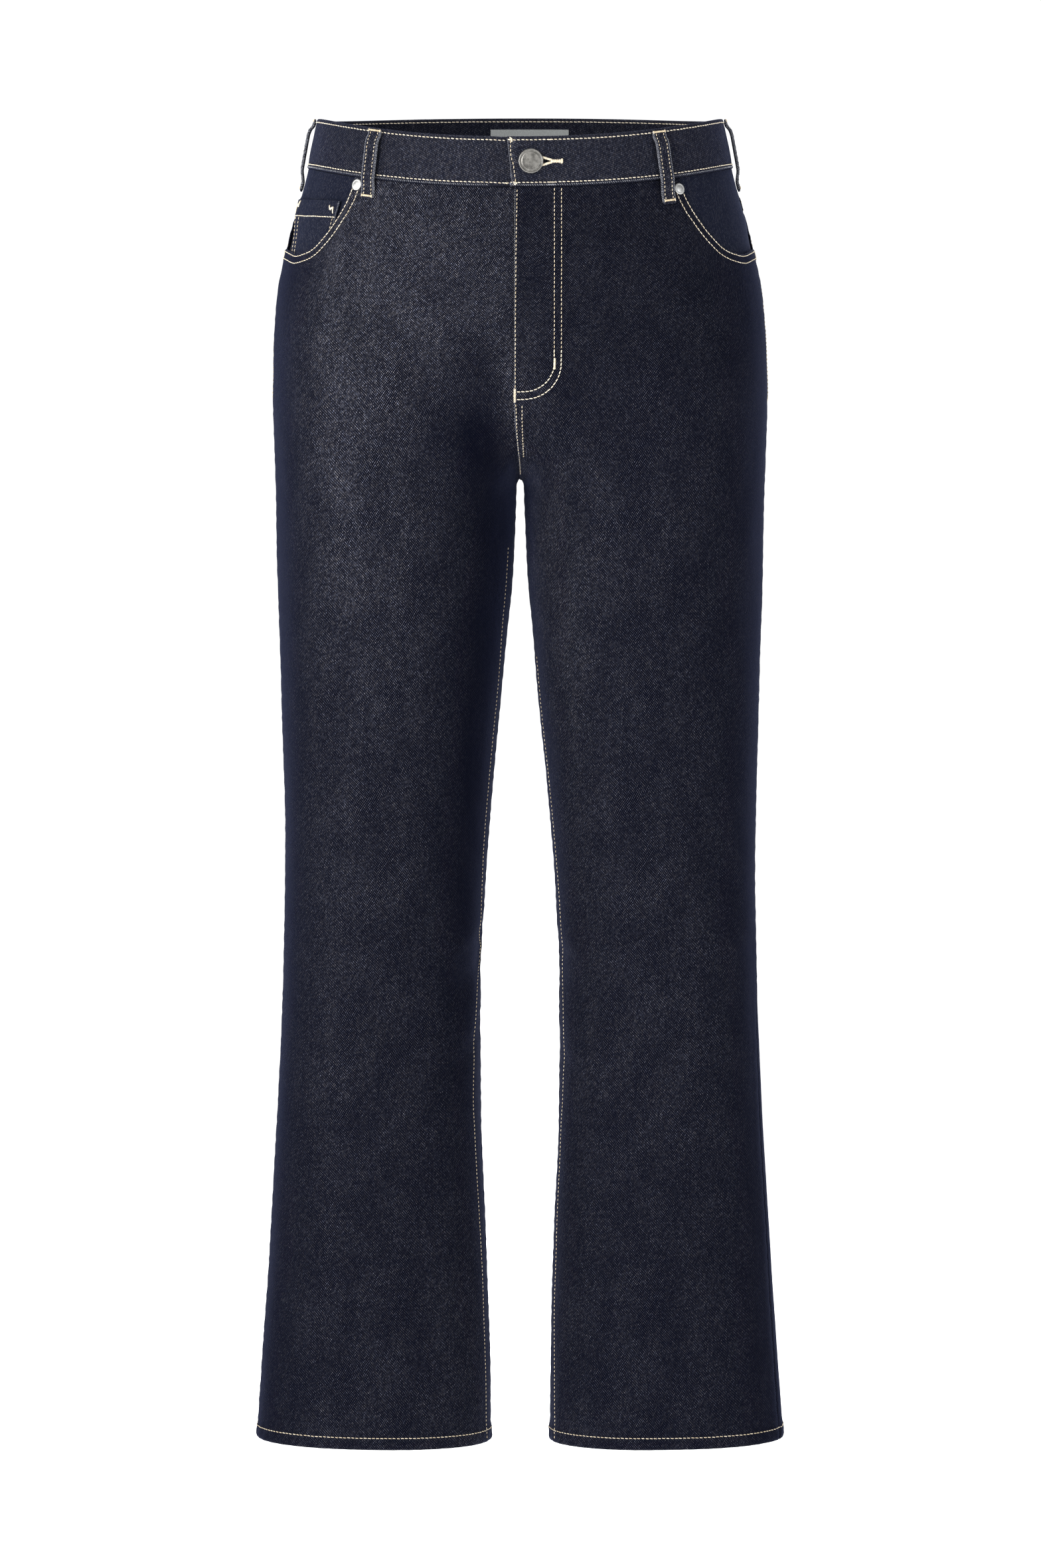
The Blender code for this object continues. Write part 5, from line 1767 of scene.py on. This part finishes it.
def sew_band(mats):
    """The waistband's rows near its top and foot: outside all round, inside as far as the fly's opening."""
    sewing = Sewing("sewing_waistband", 31)
    surface = surface_of("cloth_waistband")
    for drop in BAND_STITCH_DROPS:
        share = drop / BAND_DROP
        first = mix(*LAP_END_X, share) - UNDER_FROM
        under = [(-1, around_at_x(-1, x, drop), drop) for x in spread(first, UNDER_TO_X, 6)[:-1]]
        outer = [(side, mix(top, foot, share), drop) for side, top, foot, _ in outer_stations()]
        sewing.row(cloth_path(under + outer), surface, "band")
    for drop in BAND_INSIDE_DROPS:
        stations = [row for row in band_stations() if row[3] == 0.0 and row[1] < INNER_ROW_TO]
        places = [(side, mix(top, foot, 0.1), drop) for side, top, foot, _ in stations]
        path = [(point - normal * BAND_CLOTH, -normal) for point, normal in cloth_path(places)]
        sewing.row(path, surface, "band_inside")
    end = []
    for k, x in enumerate(spread(*LAP_END_X, 20)):
        bowed = LAP_ROW_BOW * math.sin(math.pi * min(1.0, k / 12))
        end.append((x + 0.0030 - bowed, mix(0.0035, BAND_DROP - 0.0030, k / 20)))
    sewing.row(x_path(end), surface, "band_end")
    sewing.tone_range = KNOT_TONES
    for places, radius in LAP_KNOTS:
        (a, normal), (b, _) = x_path(places)
        sewing.knot(a, b, normal, surface, radius, 0.0002)
    sewing.finish(mats["thread"])


YOKE_STITCH_UPS = (0.0022, 0.0085)
POCKET_STITCH_INSETS = (0.0020, 0.0078)
POCKET_MOUTH_INSETS = (0.0095, 0.0025)
CENTRE_STITCHES = (0.0020, 0.0080)


def sew_backs(mats):
    sewing = Sewing("sewing_back", 47)
    for side, word in SIDES:
        yoke = surface_of(f"cloth_yoke_{word}")
        for up in YOKE_STITCH_UPS:
            shares = spread(0.004, 0.996, 60)
            sewing.row(cloth_path([(side, -share, yoke_line(side, share) - up) for share in shares]), yoke)
        pocket = surface_of(f"cloth_back_pocket_{word}")
        for inset in POCKET_STITCH_INSETS:
            sewing.row(pocket_outline(side, inset), pocket)
        for inset in POCKET_MOUTH_INSETS:
            sewing.row(pocket_mouth_row(side, inset), pocket)
    yoke, panel = surface_of("cloth_yoke_left"), surface_of("cloth_back_left")
    yoke_foot = BAND_DROP + YOKE_CENTRE
    for distance in CENTRE_STITCHES:
        sewing.row(back_seam_path(distance, BAND_DROP + 0.002, yoke_foot - 0.001, 20), yoke)
        sewing.row(back_seam_path(distance, yoke_foot + 0.001, 0.288, 60), panel)
    sewing.finish(mats["thread"])


def pocket_line(side, line):
    return patch_path(lambda across, down: pocket_place(side, across, down), line)


def pocket_outline(side, inset):
    """Down the outer edge of a back pocket, to its point, and up the inner edge."""
    outer, foot = inset / POCKET_TOP_WIDTH, 1.0 - inset / POCKET_SIDE_DEPTH
    inner = 1.0 - outer
    line = [(outer, down) for down in spread(0.004, foot, 24)]
    line += [(across, foot) for across in spread(outer, inner, 30)[1:-1]]
    return pocket_line(side, line + [(inner, down) for down in spread(foot, 0.004, 24)])


def pocket_mouth_row(side, inset):
    return pocket_line(side, [(across, inset / POCKET_SIDE_DEPTH) for across in spread(0.008, 0.992, 40)])


def patch_path(place, line, step=0.004):
    """Points and normals along a line drawn on a small piece, in its own across and down."""
    path = []
    for across, down in line:
        point = place(across, down)
        a = place(min(1.0, across + step), down) - place(max(0.0, across - step), down)
        b = place(across, min(1.0, down + step)) - place(across, max(0.0, down - step))
        normal = a.cross(b).normalized()
        outwards = Vector((point.x * 0.5, point.y, 0.0))
        path.append((point, normal if normal.dot(outwards) > 0.0 else -normal))
    return path


# part of the spine; half width in loop widths; half length of its end knots
LOOP_TACKS = ((1, 0.50, 0.0013), (-3, 0.44, -0.0013))


def sew_loops(mats):
    sewing = Sewing("sewing_loops", 59)
    tacks = Sewing("sewing_loop_tacks", 61)
    for name in [row[0] for row in LOOP_ROWS]:
        surface = surface_of(f"cloth_{name}")
        spine = loop_spine(name)
        for offset in (-0.60, 0.60):
            side_by = offset * LOOP_WIDTH / 2.0
            path = [(centre + across * side_by, normal) for centre, across, normal in spine[2:-2]]
            sewing.row(path, surface, "loop", pitch=0.0031)
        for index, wide, knot_half in LOOP_TACKS:
            centre, across, normal = spine[index]
            half, along = across * (LOOP_WIDTH * wide), across.cross(normal) * knot_half
            tacks.bar(centre - half, centre + half, normal, 0.0016, surface, 17)
            for end in (-0.94, 0.94):
                place = centre + half * end
                tacks.knot(place - along, place + along, normal, surface, 0.00042, 0.00015)
    sewing.finish(mats["thread"])
    tacks.finish(mats["thread_ochre"])


COIN_STITCH_DOWN = 0.150
COIN_SIDE_STITCHES = ((0.055, "coin_outer"), (0.145, "coin_outer"), (0.950, "coin_inner"))
COIN_KNOT_HALF_GAP = 0.00035


def sew_coin_pocket(mats):
    sewing = Sewing("sewing_coin_pocket", 67)
    surface = surface_of("cloth_coin_pocket")
    top = [(across, COIN_STITCH_DOWN) for across in spread(0.02, 0.99, 20)]
    sewing.row(patch_path(coin_place, top), surface, "coin_mouth")
    for across, style in COIN_SIDE_STITCHES:
        line = [(across, down) for down in spread(COIN_STITCH_DOWN + 0.010, 0.99, 20)]
        sewing.row(patch_path(coin_place, line), surface, style)
    sewing.tone_range = KNOT_TONES
    for zigzag in COIN_TACKS:
        places = patch_path(coin_place, zigzag)
        for (a, normal), (b, _) in zip(places, places[1:]):
            start, end = land(surface, a, normal)[0], land(surface, b, normal)[0]
            for offset in (-COIN_KNOT_HALF_GAP, COIN_KNOT_HALF_GAP):
                aside = Vector((0.0, 0.0, offset))
                sewing.stitch(start + aside, end + aside, normal, 0.0005, 0.00015)
    sewing.finish(mats["thread"])


def rope_edge(sewing, path, surface, reach, lean, pitch, radius):
    """Raised floats of the twill where a fold crosses it: short slanted ridges along an edge."""
    travelled, wanted = 0.0, 0.0
    for (a, normal), (b, _) in zip(path, path[1:]):
        length = (b - a).length
        if length < 1e-9:
            continue
        along = (b - a) / length
        aside = along.cross(normal).normalized()
        while wanted <= travelled + length:
            centre, up = land(surface, a + along * (wanted - travelled), normal)
            half = aside * (reach * sewing.random.uniform(0.42, 0.56)) + along * (lean * 0.5)
            sewing.stitch(centre - half, centre + half, up, radius, 0.00006)
            wanted += pitch * sewing.random.uniform(0.88, 1.12)
        travelled += length


# reach across the edge; lean along it; pitch; thread radius
ROPES = {
    "band_foot": (0.0012, 0.0012, 0.0018, 0.00026), "band_end": (0.0007, 0.0002, 0.0009, 0.00026),
    "fly": (0.0009, 0.0007, 0.0014, 0.00026), "fold": (0.0011, 0.0007, 0.00135, 0.00026),
    "loop_wall": (0.0016, 0.0011, 0.0013, 0.00030),
}
LOOP_EDGE_AT = 0.452


def rope_edges(mats):
    """The roped edges of the waistband's foot and end, the fly, the loops and the coin pocket."""
    sewing = Sewing("twill_edges", 83)
    band = surface_of("cloth_waistband")
    foot = [(side, around, BAND_DROP - 0.0014) for side, _, around, _ in outer_stations()]
    rope_edge(sewing, cloth_path(foot), band, *ROPES["band_foot"])
    drops = spread(0.0020, BAND_DROP - 0.0016, 24)
    end = [(x + 0.0004, drop) for x, drop in zip(spread(*LAP_END_X, 24), drops)]
    rope_edge(sewing, x_path(end), band, *ROPES["band_end"])
    rope_edge(sewing, x_path(smooth_line(FLY_EDGE, 40)), surface_of("cloth_front_left"), *ROPES["fly"])
    for name in [row[0] for row in LOOP_ROWS]:
        surface = surface_of(f"cloth_{name}")
        for sign in (-1.0, 1.0):
            edge, wall = [], []
            for centre, across, normal in loop_spine(name)[1:-1]:
                outwards = across * sign
                edge.append((centre + outwards * (LOOP_WIDTH * LOOP_EDGE_AT), normal))
                middle = centre - normal * (LOOP_CLOTH / 2.0)
                wall.append((middle + outwards * (LOOP_WIDTH / 2.0), outwards))
            rope_edge(sewing, edge, surface, *ROPES["fold"])
            rope_edge(sewing, wall, surface, *ROPES["loop_wall"])
    line = [(0.985, down) for down in spread(0.012, 0.97, 30)]
    rope_edge(sewing, patch_path(coin_place, line), surface_of("cloth_coin_pocket"), *ROPES["fold"])
    sewing.finish(mats["float"])


# places from and to; width; threads
FLY_TACKS = (
    (((-0.0042, 0.2210), (-0.0042, 0.2320)), 0.0022, 15),
    (((J_INNER_X + 0.0004, 0.1960), (J_INNER_X + 0.0002, 0.2055)), 0.0018, 13),
)
MOUTH_TACK_AROUND = 0.012
MOUTH_TACK_DROPS = (0.1075, 0.1150)


def sew_tacks(mats):
    """Bar tacks at the fly and the pocket mouths."""
    sewing = Sewing("sewing_tacks", 71)
    both = surface_of("cloth_front_left", "cloth_front_right")
    for places, width, threads in FLY_TACKS:
        (a, normal), (b, _) = x_path(places)
        sewing.bar(a, b, normal, width, both, threads)
    for side, word in SIDES:
        surface = surface_of(f"cloth_front_{word}")
        (a, normal), (b, _) = cloth_path([(side, MOUTH_TACK_AROUND, drop) for drop in MOUTH_TACK_DROPS])
        sewing.bar(a, b, normal, 0.0018, surface, 10)
    sewing.finish(mats["thread"])


BUTTONHOLE_WHIPS = 19
BUTTONHOLE_WRAPS = 12
BUTTONHOLE_SLIT = 0.0003
WHIP_FROM = 0.0055
WHIP_REACH = 0.00145
BAR_HALF = 0.00125
BAR_THREADS_Y = (-0.0007, 0.0001, 0.0008)


def sew_buttonhole(mats):
    """Close whip stitches along both lips of the slit, and the bar at its end."""
    sewing = Sewing("sewing_buttonhole", 73)
    surface = surface_of("cloth_waistband")
    place = button_place()
    normal = (place.to_3x3() @ Vector((0.0, 0.0, 1.0))).normalized()

    def on_band(x, y):
        return land(surface, place @ Vector((x, y, 0.0)), normal)[0]

    def lip_y(x):
        if x < BUTTONHOLE_WAIST:
            return BUTTONHOLE_HALF
        share = (x - BUTTONHOLE_WAIST) / (BUTTONHOLE_END - BUTTONHOLE_WAIST)
        return mix(BUTTONHOLE_HALF, BUTTONHOLE_SLIT, share)

    for lip in (-1.0, 1.0):
        for x in spread(WHIP_FROM, BUTTONHOLE_END + 0.0002, BUTTONHOLE_WHIPS - 1):
            lean = 0.00035 + 0.0003 * sewing.random.random()
            outer = on_band(x + lean, lip * (lip_y(x) + WHIP_REACH))
            level = (place.inverted() @ outer).z
            inner = place @ Vector((x - lean, lip * (lip_y(x) - 0.0002), level))
            sewing.stitch(inner, outer, normal, 0.00043, 0.00025)
    last = BUTTONHOLE_WRAPS - 1
    for n, x in enumerate(spread(BUTTONHOLE_END - 0.0002, BUTTONHOLE_BAR_TO, last)):
        half = BAR_HALF + 0.0002 * sewing.random.random() + 0.0008 * smoothstep(0.80, 0.95, n / last)
        sewing.stitch(on_band(x - 0.0002, -half), on_band(x + 0.0002, half), normal, 0.00044, 0.00035)
    for y in BAR_THREADS_Y:
        start = on_band(BUTTONHOLE_BAR_TO - 0.0014, y)
        sewing.stitch(start, on_band(BUTTONHOLE_BAR_TO + 0.0007, y * 1.3), normal, 0.00044, 0.0007)
    sewing.finish(mats["thread"])


# ======== metal trims

def turned(name, profile, steps, place, material):
    """A round piece: a profile of radius and height, spun about the axis of its place."""
    mesh = bpy.data.meshes.new(name)
    edges = [(k, k + 1) for k in range(len(profile) - 1)]
    mesh.from_pydata([(radius, 0.0, height) for radius, height in profile], edges, [])
    bpy.ops.object.select_all(action="DESELECT")
    bpy.ops.mesh.primitive_plane_add(size=1.0, location=(0.0, 0.0, 0.0))
    item = bpy.context.object
    item.name = name
    item.data = mesh
    select_only(item)
    bpy.ops.object.mode_set(mode="EDIT")
    bpy.ops.mesh.select_all(action="SELECT")
    bpy.ops.mesh.spin(steps=steps, angle=2.0 * math.pi, center=(0.0, 0.0, 0.0), axis=(0.0, 0.0, 1.0))
    bpy.ops.mesh.select_all(action="SELECT")
    bpy.ops.mesh.remove_doubles(threshold=0.000004)
    bpy.ops.mesh.normals_make_consistent(inside=False)
    bpy.ops.object.mode_set(mode="OBJECT")
    item.data.transform(place)
    item.data.materials.append(material)
    smooth_and_keep(item, 40.0)


# radius; height above the waistband
BUTTON_PROFILE = (
    (0.0000, -0.0030), (0.0025, -0.0030), (0.0025, 0.0003), (0.0090, 0.0003), (0.0096, 0.0006),
    (0.0099, 0.0012), (0.0100, 0.0020), (0.0099, 0.0028), (0.0096, 0.0032), (0.0092, 0.0033),
    (0.0089, 0.0030), (0.0086, 0.0027), (0.0078, 0.0027), (0.0074, 0.0027), (0.0071, 0.0029),
    (0.0068, 0.0029), (0.0064, 0.0028), (0.0040, 0.0030), (0.0020, 0.0031), (0.0000, 0.0031),
)
RIVET_PROFILE = (
    (0.0000, 0.0003), (0.0043, 0.0003), (0.0046, 0.0005), (0.0046, 0.0008), (0.0043, 0.0011),
    (0.0038, 0.0012), (0.0034, 0.0011), (0.0030, 0.0011), (0.0026, 0.0012), (0.0018, 0.0014),
    (0.0009, 0.0015), (0.0000, 0.0015),
)


def make_trims(mats):
    turned("waist_button", BUTTON_PROFILE, 64, button_place(), mats["steel"])
    for name, side, around, drop in RIVET_ROWS:
        place = place_on_cloth(side, around, drop, RIVET_LIFT)
        turned(f"pocket_{name}", RIVET_PROFILE, 40, place, mats["rivet"])


# across the chain; up the chain
ZIP_TOOTH = (
    (-0.0016, -0.00040), (-0.0012, -0.00048), (0.0004, -0.00048), (0.0008, -0.00025),
    (0.0008, 0.00025), (0.0004, 0.00048), (-0.0012, 0.00048), (-0.0016, 0.00040),
)
ZIP_X = -0.0039
ZIP_DROPS = (0.0612, 0.2205)
ZIP_TOOTH_PITCH = 0.00112
ZIP_LIFTS = (-0.0034, -0.0062)


def make_zip_teeth(mats):
    """The chain's teeth, set from both tapes in turn, each an eight-sided nib through the chain."""
    points, faces = [], []
    for n in range(round((ZIP_DROPS[1] - ZIP_DROPS[0]) / ZIP_TOOTH_PITCH)):
        drop = ZIP_DROPS[0] + n * ZIP_TOOTH_PITCH
        hand = 1 if n % 2 else -1
        point, across, down, normal = frame_at(1, around_at_x(1, ZIP_X, drop), drop)
        faces += ring_faces(len(points), len(ZIP_LIFTS), len(ZIP_TOOTH))
        for lift in ZIP_LIFTS:
            points += [point - across * (hand * x) - down * y + normal * lift for x, y in ZIP_TOOTH]
    item = mesh_object("zip_teeth", points, faces, [mats["steel"]])
    face_outwards(item)
    made[item.name] = item
    for name, finish in (("zip", "tape"), ("zip_slider", "steel")):
        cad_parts[name].material_slots[0].material = mats[finish]


# ======== studio

CAMERA_X = 0.0003
CAMERA_HEIGHT = -0.260
CAMERA_DISTANCE = 4.5
CAMERA_TILT = math.radians(3.638)
CAMERA_LENS = 125.25
FLOOR_Z = -1.500
FLOOR_COLOUR = (0.93, 0.93, 0.93)
FLOOR_GLOW = 0.75
WALL_LIGHT = 1.1
SOFT_LIGHT = 0.40
WHITE = (1.0, 1.0, 1.0)
# name; place; what it aims at; size; power; colour
AREA_ROWS = (
    ("key", (-2.4, -3.4, 1.3), (0.0, 0.0, -0.5), 1.8, 130.0, (1.0, 0.99, 0.97)),
    ("fill", (3.0, -2.8, 0.2), (0.0, 0.0, -0.6), 2.4, 40.0, (0.95, 0.975, 1.0)),
    ("side", (-4.2, -1.0, 0.0), (0.0, 0.0, -0.6), 2.2, 70.0, (0.96, 0.98, 1.0)),
    ("back", (0.5, 3.6, 1.4), (0.0, 0.0, -0.5), 2.4, 90.0, (1.0, 1.0, 1.0)),
)


def add_area(name, place, aim, size, power, colour):
    light = bpy.data.lights.new(name, "AREA")
    light.shape = "DISK"
    light.size = size
    light.energy = power
    light.color = colour
    item = bpy.data.objects.new(name, light)
    item.location = place
    item.rotation_euler = (Vector(aim) - Vector(place)).to_track_quat("-Z", "Y").to_euler()
    bpy.context.collection.objects.link(item)


def add_camera(scene):
    data = bpy.data.cameras.new("camera")
    data.lens = CAMERA_LENS
    data.sensor_width = 36.0
    data.clip_end = 100.0
    camera = bpy.data.objects.new("camera", data)
    camera.location = (CAMERA_X, -CAMERA_DISTANCE, CAMERA_HEIGHT)
    camera.rotation_euler = (math.pi / 2.0 - CAMERA_TILT, 0.0, 0.0)
    bpy.context.collection.objects.link(camera)
    scene.camera = camera


def add_floor():
    bpy.ops.object.select_all(action="DESELECT")
    bpy.ops.mesh.primitive_plane_add(size=40.0, location=(0.0, 0.0, FLOOR_Z))
    floor = bpy.context.object
    floor.name = "studio_floor"
    material, tree, shader = new_material("floor_paper", 0.9, specular=0.0)
    plug(tree, shader.inputs["Base Color"], FLOOR_COLOUR)
    plug(tree, shader.inputs["Emission Color"], WHITE)
    plug(tree, shader.inputs["Emission Strength"], FLOOR_GLOW)
    floor.data.materials.append(material)


def add_world(scene):
    """White paper behind the jeans, and a softer white light from all round."""
    world = bpy.data.worlds.new("studio")
    scene.world = world
    world.use_nodes = True
    tree = world.node_tree
    wall, soft = tree.nodes["Background"], node(tree, "ShaderNodeBackground")
    for background, strength in ((wall, WALL_LIGHT), (soft, SOFT_LIGHT)):
        plug(tree, background.inputs["Color"], WHITE)
        plug(tree, background.inputs["Strength"], strength)
    choose = node(tree, "ShaderNodeMixShader")
    seen = node(tree, "ShaderNodeLightPath").outputs["Is Camera Ray"]
    for socket, output in zip(choose.inputs, (seen, soft.outputs[0], wall.outputs[0])):
        tree.links.new(output, socket)
    tree.links.new(choose.outputs[0], tree.nodes["World Output"].inputs["Surface"])


def make_studio():
    scene = bpy.context.scene
    add_camera(scene)
    add_floor()
    add_world(scene)
    for row in AREA_ROWS:
        add_area(*row)
    scene.view_settings.view_transform = "Standard"
    scene.view_settings.look = "None"


# ======== the whole garment


def declare():
    """Says which solids the pieces stand for, by hiding them, and what they ride on."""
    for name, item in made.items():
        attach(item, "root")
        node_name = name.removeprefix("cloth_")
        if name.startswith("cloth_"):
            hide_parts(node_name)
        elif name.startswith(("sewing", "twill", "seam")):
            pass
        elif name == "zip_teeth":
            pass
        else:
            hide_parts({"waist_button": "button"}.get(name, name.removeprefix("pocket_")))


def build():
    mats = make_materials()
    for side in (-1, 1):
        make_panel(side, "front", mouth_line, MOUTH_SETTLES, mats)
        make_panel(side, "back", yoke_line, YOKE_SETTLES, mats)
        make_yoke(side, mats)
        make_facing(side, mats)
        make_back_pocket(side, mats)
    make_coin_pocket(mats)
    make_band(mats)
    for row in LOOP_ROWS:
        make_loop(row[0], mats)
    steps = (
        make_label, make_allowances, sew_fronts, sew_hems, sew_band, sew_backs, sew_loops, sew_coin_pocket,
        sew_tacks, sew_buttonhole, rope_edges, make_trims, make_zip_teeth,
    )
    for step in steps:
        step(mats)
    declare()
    make_studio()


build()
